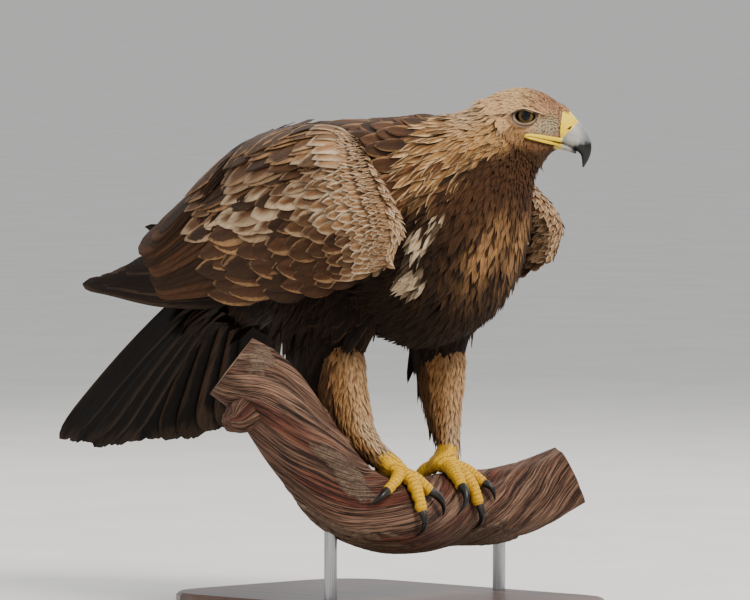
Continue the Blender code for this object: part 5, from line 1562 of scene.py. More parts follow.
# Rings of the lids from the opening outwards: half width, half height, outward place and its drop
# at the corners, mm, and how light they are
LID_RINGS = [
    (9.7, 6.2, 9.6, 4.1, 0.0), (10.0, 6.5, 10.1, 4.1, 0.1), (10.5, 7.0, 10.3, 3.8, 0.7),
    (11.2, 7.7, 10.3, 3.4, 1.0), (12.0, 8.5, 10.0, 2.9, 0.9), (12.5, 9.0, 9.5, 2.5, 0.3),
    (12.8, 9.3, 9.2, 2.1, 0.0), (13.2, 9.7, 9.4, 1.8, 0.1), (13.9, 10.4, 9.9, 1.5, 0.7),
    (15.0, 11.5, 9.8, 1.0, 0.8), (16.2, 12.8, 8.6, 0.6, 0.7),
]


def make_lids(side, finish):
    """A rolled rim of bare skin round the eye, with a fold outside it and a straighter upper edge."""
    q = np.linspace(0, 2 * math.pi, 72, endpoint=False)
    c, s = np.cos(q), np.sin(q)
    upper = np.clip(s, 0, 1)
    width, height, out, drop, light = np.array(LID_RINGS).T[..., None]
    x = width * c - 0.9
    z = height * s * (1 - 0.10 * upper) - 1.6 * upper * c - 0.9
    points = np.stack([x, out - drop * c * c - 0.10 * x, z], -1)
    points = np.concatenate([points[:1] * np.array((0.96, 0.90, 0.96)), points])
    # The upper half of the lids is darkened as painted shadow of the brow above them.
    tints = mix(tone("22160e"), tone("957c62"), light * (1 - 0.75 * smooth(upper / 0.5)))
    tints = np.concatenate([tints[:1], tints])
    faces = quads(len(points), 72, True)
    mesh = mesh_of("lids", head_shift(points, side).reshape(-1, 3), faces[:, ::-1] if side > 0 else faces)
    store(mesh, "tint", "FLOAT_COLOR", tints.reshape(-1, 3))
    obj = new_object("lids_" + hand(side), mesh)
    wall = obj.modifiers.new("Thickness", "SOLIDIFY")
    wall.thickness, wall.offset = 0.0006, -1.0
    settle(bake_modifiers(obj), "yellow_skin", finish)


BROW_EDGE = [(-9, 6.4, 0.3), (-4, 8.6, 0.6), (3, 8.7, 0.95), (10, 6.8, 1.1), (16.5, 4.6, 0.8), (22, 2.6, 0.3)]


def make_brow(side, finish):
    """The bare pale edge of the brow, which juts over the eye, painted near black below its edge as a painted
    shadow.
    """
    line = spline(BROW_EDGE, np.linspace(0, 1, 48))
    path = [head_place(x, side * (head_side(x, z) + 0.1), z) for x, z, _ in line]
    mesh = pipe_of("brow", path, line[:, 2] * MM, 16)
    place = to_head(coordinates(mesh))
    # Below its edge line the brow is painted near black, a painted shadow under the overhang; above it is its
    # pale skin.
    light = smooth((place[:, 2] - np.interp(place[:, 0], line[:, 0], line[:, 1]) + 0.3) / 0.6)
    store(mesh, "tint", "FLOAT_COLOR", mix(tone("1e130b"), tone("cda57a"), light))
    settle(new_object("brow_" + hand(side), mesh), "golden_plumage", finish)


def cere_finish():
    """Waxy yellow skin with fine wrinkles."""
    f = Finish("cere_yellow", Roughness=0.42, Specular_IOR_Level=0.36, Subsurface_Weight=0.12,
               Subsurface_Radius=(0.004, 0.002, 0.001))
    tint = f.value("tint")
    pores = f.noise(f.place(), 420.0, 5.0, 0.6)
    folds = f.noise(f.place(), 1.0, 3.0, 0.5, (260.0, 260.0, 900.0))
    f.colour(f.mixed(f.step(pores, 0.35, 0.7, 0.0, 0.35), tint, f.times(tint, (0.86, 0.72, 0.42))))
    f.bump(f.math("ADD", pores, f.math("MULTIPLY", folds, 0.7)), 0.0004, 0.6)
    return f.material


def horn_finish(name, roughness):
    """Polished horn in fine layers, with its colour from the piece's own tint."""
    f = Finish(name, Roughness=roughness, Specular_IOR_Level=0.32, Coat_Weight=0.08, Coat_Roughness=0.25)
    tint = f.value("tint")
    layers = f.noise(f.place(), 1.0, 5.0, 0.6, (120.0, 120.0, 700.0))
    cloud = f.noise(f.place(), 160.0, 4.0)
    shade = f.mixed(f.step(layers, 0.35, 0.7, 0.0, 0.4), tint, f.times(tint, (0.55, 0.55, 0.55)))
    f.colour(f.mixed(f.step(cloud, 0.45, 0.7, 0.0, 0.25), shade, f.times(tint, (1.25, 1.2, 1.15))))
    f.bump(layers, 0.0002, 0.5)
    return f.material


def profile_loft(name, sections, rows, around, power, narrow, grow=0.0):
    t, turn = grid_of(rows, around, True)
    return tube_of(name, profile_point(sections, t, turn, power, narrow, grow))


def lip_tube(rows, side):
    """One rounded edge of the gape along the side of the head."""
    line = spline(rows, np.linspace(0, 1, 40))
    path = [head_place(x, side * (head_side(x, z) - 0.4), z) for x, z, _ in line]
    return pipe_of("lip", path, line[:, 2] * MM, 14)


# Nostril: its middle in the head's frame, mm, and its slant
NOSTRIL, NOSTRIL_SLANT = (45.4, -10.4), math.radians(34)
# Line of the closed gape, mm
GAPE = [(2.6, -17.8), (7, -18.6), (13, -19.8), (22, -21.8), (31, -23.8), (38, -25.4)]


def make_cere(finish):
    """Cere with its nostrils, and the yellow edges of the gape."""
    band = profile_loft("cere", CERE, 50, 120, 0.9, 0.25, 0.35)
    parts = [band] + [lip_tube(rows, side) for rows in (UPPER_LIP, LOWER_LIP) for side in (1, -1)]
    obj = remeshed(joined("cere_skin", parts), 0.00055, 2)
    place = to_head(coordinates(obj.data))
    x, z = place[:, 0] - NOSTRIL[0], place[:, 2] - NOSTRIL[1]
    c, s = math.cos(NOSTRIL_SLANT), math.sin(NOSTRIL_SLANT)
    u, v, at_side = x * c + z * s, z * c - x * s, np.abs(place[:, 1]) > 6
    hole = np.exp(-((u / 2.9) ** 2 + (v / 0.95) ** 2) ** 1.6) * at_side
    ridge = np.exp(-((np.hypot(u / 3.9, v / 2.0) - 1) / 0.35) ** 2) * at_side
    place[:, 1] += np.sign(place[:, 1]) * (0.35 * ridge - 2.4 * hole)
    obj.data.vertices.foreach_set("co", head_place(*place.T).ravel())
    tint = mix(tone("dfbc14"), tone("dcc63c"), smooth((place[:, 2] + 8) / 12) * 0.5)
    tint = mix(tint, tone("8f8f8d"), horn_share(place))
    gape = np.interp(place[:, 0], *np.array(GAPE).T)
    line = np.exp(-((place[:, 2] - gape) / 0.40) ** 2) * (place[:, 0] > 4) * (place[:, 0] < 37)
    tint = mix(tint, tone("4a2f10"), np.clip(line, 0, 0.9))
    # The nostril's shallow dent is painted near black as painted shade inside the opening.
    tint = mix(tint, tone("1c120a"), np.clip(hole * 1.6, 0, 1))
    store(obj.data, "tint", "FLOAT_COLOR", tint)
    obj.data.update()
    settle(obj, "yellow_skin", finish, "cere")


def horn_share(place):
    """How far places are in front of the slanting line where the cere's yellow gives way to grey horn."""
    border = np.interp(place[:, 2], [-24, -20, -16.6, -10, -5, 0], [37.0, 38.5, 42.0, 48.5, 52.3, 54.0])
    return smooth((place[:, 0] - border + 1.2) / 2.4)


def make_bill(finish):
    """Upper and lower bill, grey at the base and black at the tip."""
    for name, sections, narrow in (("bill_upper", BILL, 0.3), ("bill_lower", LOWER_BILL, 0.0)):
        mesh = profile_loft(name + "_horn", sections, 64, 64, 0.9, narrow)
        place = to_head(coordinates(mesh))
        x, _, z = place.T
        if name == "bill_upper":
            patchy = 1.6 * np.sin(0.9 * x + 0.5 * z) * np.sin(0.6 * z - 0.3 * x)
            dark = smooth((-z - 21.0 + 0.30 * (x - 58) + patchy) / 9)
            under = smooth((-z - 26) / 4) * smooth((x - 46) / 8)
            tint = mix(tone("98958f"), tone("5c5f66"), smooth((x - 51) / 11) * 0.8)
            tint = mix(tint, tone("0a0a08"), np.clip(dark + under * 0.6, 0, 1))
            tint = mix(tint, tone("e0bb30"), 1 - horn_share(place))
        else:
            tint = mix(tone("b5a04c"), tone("8d8b84"), smooth((x - 34) / 6))
            tint = mix(tint, tone("2a2a28"), smooth((x - 44) / 5))
        store(mesh, "tint", "FLOAT_COLOR", tint)
        settle(new_object(name + "_horn", mesh), "bill_horn", finish, name)


# Feet and claws

ANKLES = {"right": (-13, -61, 23), "left": (-27, 55, 24)}
FEET = {"right": 0.447, "left": 0.655}
# For each toe its spread from straight ahead in degrees, its length, its claw's length and its radius, mm
TOES = {
    "right": [(6, 62, 33, 7.6), (30, 46, 36, 7.8), (-27, 52, 28, 6.8), (172, 38, 44, 8.0)],
    "left": [(2, 62, 33, 7.6), (30, 46, 36, 7.8), (-36, 50, 28, 6.8), (176, 38, 44, 8.0)],
}
SCUTE = 4.2
BRANCH_RADIUS, VIEW_YAW = 0.037, math.radians(45)
BRANCH = [
    (-198, -66, 112), (-162, -66, 84), (-124, -64, 30), (-88, -54, -16), (-46, -38, -38),
    (-12, 8, -42), (20, 57, -38), (62, 84, -36), (104, 98, -26), (142, 106, -8),
]
BRANCH_SIZE = [(0.90,), (0.98,), (1.04,), (1.06,), (1.0,), (1.0,), (1.0,), (0.98,), (0.93,), (0.86,)]


def branch_centre(s):
    right, deep, height = np.moveaxis(spline(BRANCH, s), -1, 0)
    c, t = math.cos(VIEW_YAW), math.sin(VIEW_YAW)
    return STANCE + np.stack([c * right - t * deep, t * right + c * deep, height], -1) * MM


def branch_axes(s):
    """The branch's direction, its top, and the side that the toes hang over."""
    s = np.asarray(s, float)
    ahead = unit(branch_centre(s + 0.01) - branch_centre(s - 0.01))
    top = unit(np.array((0, 0, 1.0)) - ahead * ahead[..., 2:3])
    return ahead, top, np.cross(ahead, top)


def branch_point(s, angle, height=0.0):
    """A point height above the bark: angle 0 is the top, and it grows towards the toes' side."""
    s, angle, height = np.broadcast_arrays(*(np.asarray(value, float) for value in (s, angle, height)))
    _, top, front = branch_axes(s)
    grip = np.exp(-((s - 0.56) / 0.17) ** 2)
    flute = 0.045 * np.cos(4 * angle + 9 * s) + 0.03 * np.cos(7 * angle - 12 * s + 1)
    reach = BRANCH_RADIUS * spline(BRANCH_SIZE, s)[..., 0] * (1 + flute * (1 - grip)) + height
    outward = top * np.cos(angle)[..., None] + front * np.sin(angle)[..., None]
    return branch_centre(s) + outward * reach[..., None]


def toe_path(side, spread, height, start, end, count):
    """Points over the bark on a line that leaves the foot at a spread from straight ahead."""
    s0 = FEET[side]
    span = np.linalg.norm(branch_centre(s0 + 0.01) - branch_centre(s0 - 0.01)) / 0.02
    turn = math.radians(spread) * (1 if side == "right" else -1)
    t = np.linspace(0, 1, count)
    q = start + (end - start) * t
    angle = q * math.cos(turn) / (BRANCH_RADIUS + 0.006)
    return branch_point(s0 + q * math.sin(turn) / span, angle, height(t))


def foot_finish():
    """Yellow skin of small scales, with broad scutes and darker brown gaps between them."""
    f = Finish("toe_yellow", Roughness=0.55, Specular_IOR_Level=0.25)
    tint = f.value("tint")
    scales = f.cells(420.0)
    gap = f.step(scales, 0.02, 0.16, 1.0, 0.0)
    cloud = f.noise(f.place(), 130.0, 4.0)
    shade = f.mixed(f.step(cloud, 0.35, 0.7, 0.0, 0.4), tint, f.times(tint, (0.80, 0.66, 0.40)))
    f.colour(f.mixed(f.math("MULTIPLY", gap, 0.55), shade, f.times(tint, (0.42, 0.30, 0.14))))
    f.bump(f.math("SUBTRACT", 1.0, gap), 0.0004, 0.8)
    return f.material


def make_foot(side, skin, horn):
    """Toes with scutes on top and pads below, on an instep, and the claws of one foot."""
    s0 = FEET[side]
    ankle = STANCE + np.array(ANKLES[side]) * MM
    palm = branch_point(s0, 0.0, 0.0105)
    solids = [ball_of("palm", palm, (0.0155, 0.0098, 0.0150), np.array(branch_axes(s0)))]
    step = spline([palm, palm * 0.5 + ankle * 0.5, ankle - np.array((0, 0, 0.0006))], np.linspace(0, 1, 16))
    solids.append(pipe_of("instep", step, np.linspace(0.0125, 0.0108, 16), 24))
    claws, marks = [], []
    for spread, length, claw, radius in TOES[side]:
        thick = radius * MM
        line = toe_path(side, spread, lambda t: thick * (1 - 0.22 * t) + 0.9 * MM, 0.004, length * MM, 72)
        t = np.linspace(0, 1, 72)
        closing = np.sqrt(np.clip(1 - ((t - 0.9) / 0.13).clip(0) ** 2, 0.2, 1))
        size = thick * (1 - 0.24 * t) * (1 + 0.05 * np.cos(12 * t)) * closing
        ahead = unit(np.gradient(line, axis=0))
        top = unit(line - branch_centre(s0))
        top = unit(top - ahead * np.sum(top * ahead, -1)[:, None])
        c = np.cos(np.linspace(0, 2 * math.pi, 40, endpoint=False))
        plates = (t * length / SCUTE) % 1.0
        scutes = 0.17 * smooth(plates / 0.25) * (1 - 0.5 * plates) - 0.10
        lift = np.outer(scutes, np.clip(c + 0.1, 0, 1) ** 0.5)
        pads = np.outer(0.13 * np.cos(t * length / 11 * 2 * math.pi), np.clip(-c, 0, 1))
        marks += zip(line, plates, top)
        reach = size[:, None] * (1 + lift + pads)
        solids.append(tube_of("toe", rings_round(line, reach, top, np.cross(ahead, top), 40)))
        last = thick * 0.78
        rise = lambda t: (last + 0.6 * MM) * (1 - t) ** 0.8 + 5.0 * MM * np.sin(np.pi * t) + 1.1 * MM
        path = toe_path(side, spread, rise, (length - 1.5) * MM, (length + claw * 0.82) * MM, 26)
        radii = (0.0052 if claw > 35 else 0.0044) * (1 - 0.93 * np.linspace(0, 1, 26) ** 1.15)
        mesh = pipe_of("claw", path, radii, 20)
        along = nearest_to(coordinates(mesh), path) / 25
        store(mesh, "tint", "FLOAT_COLOR", mix(tone("2e2822"), tone("0a0908"), smooth(along / 0.35)))
        claws.append(mesh)
    foot = remeshed(joined("foot_%s_skin" % side, solids), 0.00075, 1)
    points = coordinates(foot.data)
    spots, phases, tops = (np.array(found) for found in zip(*marks))
    nearest = nearest_to(points, spots)
    facing = np.sum(unit(points - spots[nearest]) * tops[nearest], -1)
    seam = np.exp(-((phases[nearest] - 0.06) / 0.10) ** 2) + np.exp(-((phases[nearest] - 1.02) / 0.08) ** 2)
    seam = np.clip(seam, 0, 1) * smooth((facing + 0.1) / 0.4)
    tint = mix(tone("e2b11c"), tone("c99a2e"), smooth((0.1 - facing) / 0.8) * 0.7)
    store(foot.data, "tint", "FLOAT_COLOR", mix(tint, tone("6a4a14"), seam * 0.75))
    settle(foot, "yellow_skin", skin, "foot_" + side)
    nodes = ["claw_%s_%s" % (side, toe) for toe in ("middle", "inner", "outer", "hind")]
    settle(joined("claws_" + side, claws), "claw_horn", horn, *nodes)


def nearest_to(points, spots):
    """The number of the spot nearest to each point."""
    return np.array([np.argmin(np.sum((spots - p) ** 2, 1)) for p in points])


# Perch and stand

def wood_finish():
    """Weathered grain that twists along the branch, with red streaks, cracks, flaky bark and cut ends."""
    f = Finish("weathered_branch", Roughness=0.82, Specular_IOR_Level=0.25)
    grain = f.value("grain", "Vector")
    fine = f.noise(grain, 1.0, 6.0, 0.65, (900.0, 900.0, 24.0))
    broad = f.noise(grain, 1.0, 4.0, 0.5, (90.0, 90.0, 7.0))
    streak = f.noise(grain, 1.0, 3.0, 0.5, (50.0, 50.0, 4.0))
    wood = f.mixed(f.step(fine, 0.42, 0.62), tone("20120c"), tone("72513e"))
    grey = f.mixed(f.step(fine, 0.38, 0.60), tone("36251c"), tone("8a6a56"))
    wood = f.mixed(f.step(broad, 0.42, 0.60, 0.0, 0.9), wood, grey)
    red = f.mixed(f.step(fine, 0.38, 0.62), tone("230e08"), tone("5e2b1c"))
    wood = f.mixed(f.step(streak, 0.50, 0.64, 0.0, 0.85), wood, red)
    crack = f.step(f.noise(grain, 1.0, 5.0, 0.7, (520.0, 520.0, 13.0)), 0.55, 0.60)
    wood = f.mixed(f.math("MULTIPLY", crack, 0.9), wood, tone("170d08"))
    flake = f.noise(f.place(), 260.0, 6.0, 0.7)
    crust = f.mixed(f.step(fine, 0.38, 0.60), tone("2a1d16"), tone("75604f"))
    crust = f.mixed(f.step(flake, 0.42, 0.62, 0.0, 0.55), crust, tone("4d3a2e"))
    seam = f.math("ADD", f.cells(150.0), f.math("MULTIPLY_ADD", flake, 0.20, -0.09))
    seam = f.step(seam, 0.00, 0.07, 1.0, 0.0)
    crust = f.mixed(f.math("MULTIPLY", seam, 0.45), crust, tone("2b1d15"))
    colour = f.mixed(f.value("bark", "Fac"), wood, crust)
    rings = f.node("TexWave", {"Vector": f.place(), "Scale": 60.0, "Distortion": 6.0, "Detail": 3.0},
                   wave_type="RINGS", rings_direction="SPHERICAL").outputs[1]
    end = f.mixed(f.step(fine, 0.3, 0.7), tone("b08c66"), tone("d6b98f"))
    end = f.mixed(f.math("MULTIPLY", rings, 0.45), end, tone("7d5a3c"))
    f.colour(f.mixed(f.value("cut", "Fac"), colour, end))
    rough = f.math("ADD", f.math("MULTIPLY", fine, 0.8), f.math("MULTIPLY", crack, -0.9))
    crusty = f.math("ADD", f.math("MULTIPLY", flake, 0.8), f.math("MULTIPLY", seam, -0.35))
    height = f.node("Mix", {0: f.value("bark", "Fac"), 2: rough, 3: crusty}, data_type="FLOAT").outputs[0]
    f.bump(height, 0.0014, 0.9)
    return f.material


# Patches of bark left on the branch: middle along it, turn, half length and half width
BARK = [(0.23, 5.4, 0.060, 0.9), (0.30, 1.30, 0.085, 0.30), (0.40, 3.6, 0.12, 1.3), (0.05, 0.7, 0.030, 0.55),
        (0.72, 3.2, 0.10, 1.2)]
BRANCH_LENGTH, MOST_BARK = 0.62, 0.0038


def angle_between(angle, other):
    return np.abs((angle - other + math.pi) % (2 * math.pi) - math.pi)


def store_grain(mesh, turn, along, radius, length, bark, sawn):
    """Writes where the points of a tube lie in the wood's grain, and how barked and sawn they are."""
    grain = np.stack([np.cos(turn) * radius, np.sin(turn) * radius, along * length], -1).reshape(-1, 3)
    store(mesh, "grain", "FLOAT_VECTOR", np.concatenate([grain, [[0, 0, 0], [0, 0, length]]]))
    store(mesh, "bark", "FLOAT", np.concatenate([bark.ravel(), [0, 0]]))
    store(mesh, "cut", "FLOAT", np.concatenate([0 * bark.ravel(), [sawn, sawn]]))


def make_perch(finish):
    """The branch, with open grooves along its twisted grain, plates of old bark and sawn ends."""
    s, turn = grid_of(360, 120, True)
    angle = 2 * math.pi * turn
    rng = np.random.default_rng(12)
    grip = np.exp(-((s - 0.56) / 0.15) ** 2)
    twist = angle + 7.0 * s
    groove, bark = np.zeros_like(s), np.zeros_like(s)
    for k in range(16):
        where, half, start = rng.uniform(0, 2 * math.pi), rng.uniform(0.03, 0.10), rng.uniform(0, 0.8)
        end = start + rng.uniform(0.15, 0.4)
        off = angle_between(twist + 0.15 * np.sin(9 * s + k), where)
        length = smooth((s - start) / 0.06) * smooth((end - s) / 0.06)
        groove -= np.exp(-(off / half) ** 2) * length * rng.uniform(0.8, 2.2)
    fine = sum(np.sin(m * twist + rng.uniform(0, 6.3) + 3 * np.sin(5 * s + m)) / m for m in (19, 27, 34, 43))
    for at, where, half, wide in BARK:
        rag = 0.18 * np.sin(11 * angle + 60 * s) + 0.12 * np.sin(23 * angle - 90 * s + at * 50)
        reach = np.hypot((s - at) / half, angle_between(angle, where) / wide) + rag
        bark = np.maximum(bark, smooth((1.06 - reach) / 0.12))
    lumps = np.sin(31 * angle + 140 * s) * np.sin(17 * angle - 210 * s)
    lumps += np.sin(47 * angle - 90 * s) * np.sin(260 * s)
    height = groove * 0.9 * (1 - 0.85 * grip) + fine * 4 * 0.05 * (1 - 0.7 * grip)
    height = height + bark * (1.7 + 0.3 * lumps) * (1 - grip) - 0.35 * bark * grip
    mesh = tube_of("perch", branch_point(s, angle, np.minimum(height * MM, MOST_BARK)))
    store_grain(mesh, twist, s, BRANCH_RADIUS, BRANCH_LENGTH, bark, 1)
    knots = [branch_centre(0.11), branch_point(0.10, 2.6, 0.006), branch_point(0.08, 2.5, 0.022)]
    t, q = np.meshgrid(np.linspace(0, 1, 60), np.linspace(0, 2 * math.pi, 40, endpoint=False), indexing="ij")
    path = spline(knots, t[:, 0])
    size = spline([(0.026,), (0.015,), (0.006,)], t[:, 0])
    rough = 1 + 0.07 * np.cos(5 * q + 8 * t) + 0.05 * np.cos(9 * q - 14 * t)
    spur = tube_of("spur", rings_round(path, size * rough, *path_axes(path, (0.1, 0.2, 1.0)), 40))
    store_grain(spur, q, t, 0.02, 0.05, 0 * t, 0)
    settle(joined("perch", [mesh, spur]), "weathered_wood", finish, "perch_branch")


def stand_wood_finish():
    """Dark oiled wood, with long grain and pores along the base."""
    f = Finish("stand_walnut", Roughness=0.38, Specular_IOR_Level=0.5, Coat_Weight=0.35, Coat_Roughness=0.22)
    place = f.place()
    grain = f.noise(place, 1.0, 6.0, 0.6, (7.0, 90.0, 60.0))
    pores = f.noise(place, 1.0, 3.0, 0.6, (40.0, 900.0, 500.0))
    bands = f.noise(place, 1.0, 3.0, 0.5, (3.0, 26.0, 18.0))
    colour = f.mixed(f.step(grain, 0.35, 0.65), tone("2b1810"), tone("6b4228"))
    colour = f.mixed(f.step(bands, 0.4, 0.65, 0.0, 0.6), colour, tone("4a2c1b"))
    colour = f.mixed(f.step(pores, 0.60, 0.70, 0.0, 0.7), colour, tone("180d08"))
    f.colour(colour)
    f.bump(f.math("ADD", grain, f.math("MULTIPLY", pores, -0.6)), 0.0003, 0.35)
    return f.material


def steel_finish():
    f = Finish("brushed_steel", Metallic=1.0, Specular_IOR_Level=0.5)
    brush = f.noise(f.place(), 1.0, 4.0, 0.6, (1500.0, 1500.0, 20.0))
    f.colour(f.mixed(f.step(brush, 0.3, 0.7), tone("8d8f92"), tone("b9babb")))
    f.put("Roughness", f.step(brush, 0.3, 0.7, 0.24, 0.42))
    f.bump(brush, 0.0001, 0.25)
    return f.material


def dress_node(name, material):
    """Better material on a CAD node that keeps its shape."""
    obj = bpy.data.objects[name]
    if not obj.data.materials:
        obj.data.materials.append(material)
    for index in range(len(obj.data.materials)):
        obj.data.materials[index] = material


# Studio

def floor_finish():
    f = Finish("studio_floor", Roughness=0.85, Specular_IOR_Level=0.2)
    cloud = f.noise(f.place(), 6.0, 4.0)
    f.colour(f.mixed(f.step(cloud, 0.3, 0.7), tone("e6e4df"), tone("eceae6")))
    f.bump(f.noise(f.place(), 300.0, 3.0), 0.0003, 0.2)
    return f.material


# Lamps: how far to the right of the bird, towards the camera and up, m, their size, power and colour
LAMPS = {
    "key": (1.3, 1.5, 2.0, 1.2, 108, (1.0, 0.95, 0.88)), "fill": (-1.9, 1.6, 1.3, 2.2, 20, (0.94, 0.96, 1.0)),
    "rim": (-0.8, -2.2, 2.0, 1.6, 34, (1.0, 0.98, 0.95)), "far": (1.8, -1.9, 1.4, 2.2, 22, (1.0, 1.0, 1.0)),
}
LAMPS_CENTRE = np.array((0, 0, 0.3))
SENSOR, FLOOR_HALF = 36.0, 75


def put_in(name, data, place, towards):
    """A lamp or camera in the scene, turned towards a direction."""
    obj = bpy.data.objects.new(name, data)
    bpy.context.scene.collection.objects.link(obj)
    obj.location = place
    obj.rotation_euler = Vector(towards).to_track_quat("-Z", "Y").to_euler()
    return obj


def make_stage(azimuth, elevation, distance, view_width, strength):
    """Floor, light and camera."""
    right = np.array((math.cos(VIEW_YAW), math.sin(VIEW_YAW), 0.0))
    target = STANCE + right * -0.055 + np.array((0, 0, 0.175))
    a, e = math.radians(azimuth), math.radians(elevation)
    towards = np.array((math.sin(a) * math.cos(e), -math.cos(a) * math.cos(e), math.sin(e)))
    lens = bpy.data.cameras.new("Camera")
    lens.sensor_width, lens.lens = SENSOR, SENSOR * distance / view_width
    lens.clip_start, lens.clip_end = 0.1, 400.0
    bpy.context.scene.camera = put_in("Camera", lens, target + towards * distance, -towards)
    corners = [(x * FLOOR_HALF, y * FLOOR_HALF, 0) for x, y in ((-1, -1), (1, -1), (1, 1), (-1, 1))]
    floor = new_object("floor", mesh_of("floor", corners, [(0, 1, 2, 3)]))
    floor.data.materials.append(floor_finish())
    world = bpy.data.worlds.new("Studio")
    world.use_nodes = True
    background = world.node_tree.nodes["Background"].inputs
    background[0].default_value = (0.82, 0.84, 0.86, 1)
    background[1].default_value = 0.74 * strength
    bpy.context.scene.world = world
    for name, (aside, near_side, height, size, power, colour) in LAMPS.items():
        lamp = bpy.data.lights.new(name, "AREA")
        lamp.shape, lamp.size, lamp.energy, lamp.color = "DISK", size, power * strength, colour
        away = right * aside + towards * np.array((1, 1, 0)) * near_side + np.array((0, 0, height))
        put_in(name, lamp, LAMPS_CENTRE + away, -away)


# Add-on

class EagleSettings(bpy.types.PropertyGroup):
    """Sizes and strengths that a user may change."""
    coat_depth: bpy.props.FloatProperty(
        name="Coat depth", description="How far the skin lies inside the plumage", default=0.006, min=0.002,
        max=0.012, unit="LENGTH")
    skin_grain: bpy.props.FloatProperty(
        name="Skin grain", description="Size of the cells that the skin is melted from", default=0.0029,
        min=0.002, max=0.008, unit="LENGTH")
    plumage_sheen: bpy.props.FloatProperty(
        name="Plumage sheen", description="Soft sheen over the feathers", default=0.06, min=0.0, max=1.0,
        subtype="FACTOR")


class StageSettings(bpy.types.PropertyGroup):
    """Camera and light."""
    azimuth: bpy.props.FloatProperty(
        name="Azimuth", description="Camera's turn round the bird, degrees", default=45.0)
    elevation: bpy.props.FloatProperty(
        name="Elevation", description="Camera's height angle, degrees", default=2.5)
    distance: bpy.props.FloatProperty(
        name="Distance", description="From the bird to the camera", default=8.5, unit="LENGTH")
    view_width: bpy.props.FloatProperty(
        name="View width", description="Width of the view at the bird", default=0.75, unit="LENGTH")
    light: bpy.props.FloatProperty(
        name="Light", description="Strength of all the lamps", default=1.0, min=0.0)


class EagleOperator(bpy.types.Operator):
    bl_options = {"REGISTER", "UNDO"}


def body_finish(context):
    return feather_finish("body_feather", 0.72, 150.0, context.scene.eagle.plumage_sheen)


class EAGLE_OT_skin(EagleOperator):
    """Make the one skin of the bird"""
    bl_idname, bl_label = "eagle.skin", "Skin"

    def execute(self, context):
        skin = make_skin(context.scene.eagle.coat_depth, context.scene.eagle.skin_grain)
        settle(skin, "dark_plumage", skin_finish(), "torso", "neck", "head", "thigh_right", "thigh_left",
               "shank_right", "shank_left")
        return {"FINISHED"}


class EAGLE_OT_plumage(EagleOperator):
    """Lay the small feathers of trunk, neck, head and legs"""
    bl_idname, bl_label = "eagle.plumage", "Small feathers"

    def execute(self, context):
        tree, finish = laying_tree(), body_finish(context)
        body, neck = groom_trunk(tree, finish)
        settle(body, "dark_plumage", None)
        settle(neck, "golden_plumage", None)
        settle(groom_head(tree, finish), "golden_plumage", None)
        settle(make_mantle(finish), "dark_plumage", None)
        for piece, slot in zip(groom_hollows(tree, finish), ("dark_plumage", "wing_plumage")):
            settle(piece, slot, None)
        thighs = groom_legs(tree, finish, "thigh", thigh_look, thigh_sizes, ROUND)
        shanks = groom_legs(tree, finish, "shank", shank_look, shank_sizes, LANCE)
        settle(thighs, "dark_plumage", None)
        settle(shanks, "leg_plumage", None)
        bpy.data.node_groups.remove(tree)
        return {"FINISHED"}


class EAGLE_OT_wings(EagleOperator):
    """Fold both wings feather by feather"""
    bl_idname, bl_label = "eagle.wings", "Wings"

    def execute(self, context):
        quill = feather_finish("flight_feather", 0.62, 300.0, 0.01)
        covert = feather_finish("covert_feather", 0.66, 170.0, context.scene.eagle.plumage_sheen)
        for side, node in ((-1, "wing_right"), (1, "wing_left")):
            flight, coverts, scapulars = make_wing(side, (quill, covert, covert))
            settle(flight, "flight_feathers", None, node)
            settle(coverts, "wing_plumage", None)
            settle(scapulars, "wing_plumage", None)
        return {"FINISHED"}


class EAGLE_OT_tail(EagleOperator):
    """Fan the tail"""
    bl_idname, bl_label = "eagle.tail", "Tail"

    def execute(self, context):
        finish = feather_finish("tail_feather", 0.65, 300.0, 0.0)
        settle(make_tail(finish), "flight_feathers", None, "tail")
        return {"FINISHED"}


class EAGLE_OT_eyes(EagleOperator):
    """Make the eyes and their lids"""
    bl_idname, bl_label = "eagle.eyes", "Eyes and lids"

    def execute(self, context):
        clear, rim = eye_finish(), lid_finish()
        for side in (1, -1):
            make_eye(side, clear)
            make_lids(side, rim)
            make_brow(side, rim)
        return {"FINISHED"}


class EAGLE_OT_bill(EagleOperator):
    """Make the cere, the gape and the bill"""
    bl_idname, bl_label = "eagle.bill", "Cere and bill"

    def execute(self, context):
        make_cere(cere_finish())
        make_bill(horn_finish("bill_horn_layers", 0.42))
        return {"FINISHED"}


class EAGLE_OT_feet(EagleOperator):
    """Make the feet and claws"""
    bl_idname, bl_label = "eagle.feet", "Feet and claws"

    def execute(self, context):
        skin, horn = foot_finish(), horn_finish("claw_horn_black", 0.40)
        for side in ("right", "left"):
            make_foot(side, skin, horn)
        return {"FINISHED"}


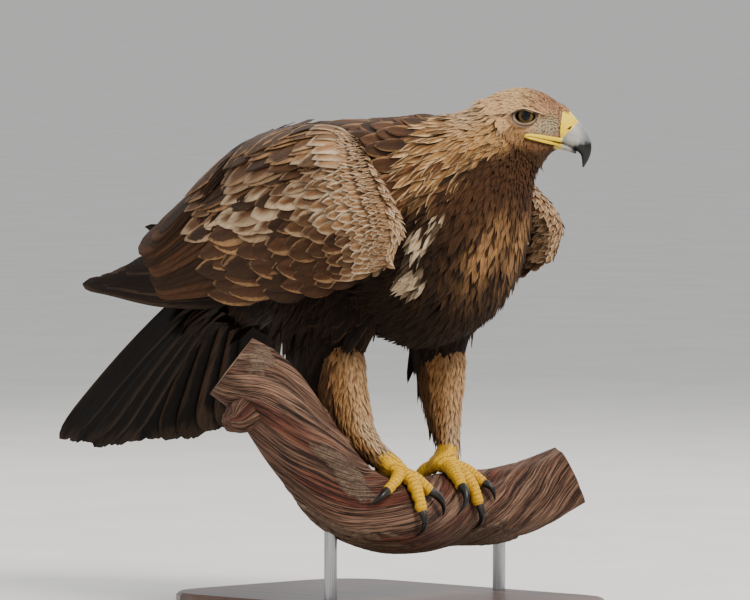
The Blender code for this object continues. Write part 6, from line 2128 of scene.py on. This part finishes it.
class EAGLE_OT_perch(EagleOperator):
    """Make the branch that the bird stands on"""
    bl_idname, bl_label = "eagle.perch", "Perch"

    def execute(self, context):
        make_perch(wood_finish())
        return {"FINISHED"}


class EAGLE_OT_stand(EagleOperator):
    """Finish the display stand"""
    bl_idname, bl_label = "eagle.stand", "Display stand"

    def execute(self, context):
        dress_node("stand_base", stand_wood_finish())
        steel = steel_finish()
        for name in ("stand_rod_front", "stand_rod_back"):
            dress_node(name, steel)
        return {"FINISHED"}


class EAGLE_OT_stage(EagleOperator):
    """Set up floor, light and camera"""
    bl_idname, bl_label = "eagle.stage", "Studio"

    def execute(self, context):
        s = context.scene.eagle_stage
        make_stage(s.azimuth, s.elevation, s.distance, s.view_width, s.light)
        return {"FINISHED"}


OPERATORS = (EAGLE_OT_stage, EAGLE_OT_skin, EAGLE_OT_plumage, EAGLE_OT_wings, EAGLE_OT_tail, EAGLE_OT_eyes,
             EAGLE_OT_bill, EAGLE_OT_feet, EAGLE_OT_perch, EAGLE_OT_stand)


class EAGLE_PT_panel(bpy.types.Panel):
    """Lists the pieces of the eagle"""
    bl_idname, bl_label = "EAGLE_PT_panel", "Golden eagle"
    bl_space_type, bl_region_type, bl_category = "VIEW_3D", "UI", "Eagle"

    def draw(self, context):
        for group in (context.scene.eagle, context.scene.eagle_stage):
            for name in group.__annotations__:
                self.layout.prop(group, name)
        for operator in OPERATORS:
            self.layout.operator(operator.bl_idname)


CLASSES = (EagleSettings, StageSettings, *OPERATORS, EAGLE_PT_panel)


def register():
    for item in CLASSES:
        bpy.utils.register_class(item)
    bpy.types.Scene.eagle = bpy.props.PointerProperty(type=EagleSettings)
    bpy.types.Scene.eagle_stage = bpy.props.PointerProperty(type=StageSettings)


def unregister():
    del bpy.types.Scene.eagle
    del bpy.types.Scene.eagle_stage
    for item in reversed(CLASSES):
        bpy.utils.unregister_class(item)


def main():
    register()
    for operator in OPERATORS:
        group, name = operator.bl_idname.split(".")
        getattr(getattr(bpy.ops, group), name)()


if __name__ == "__main__":
    main()
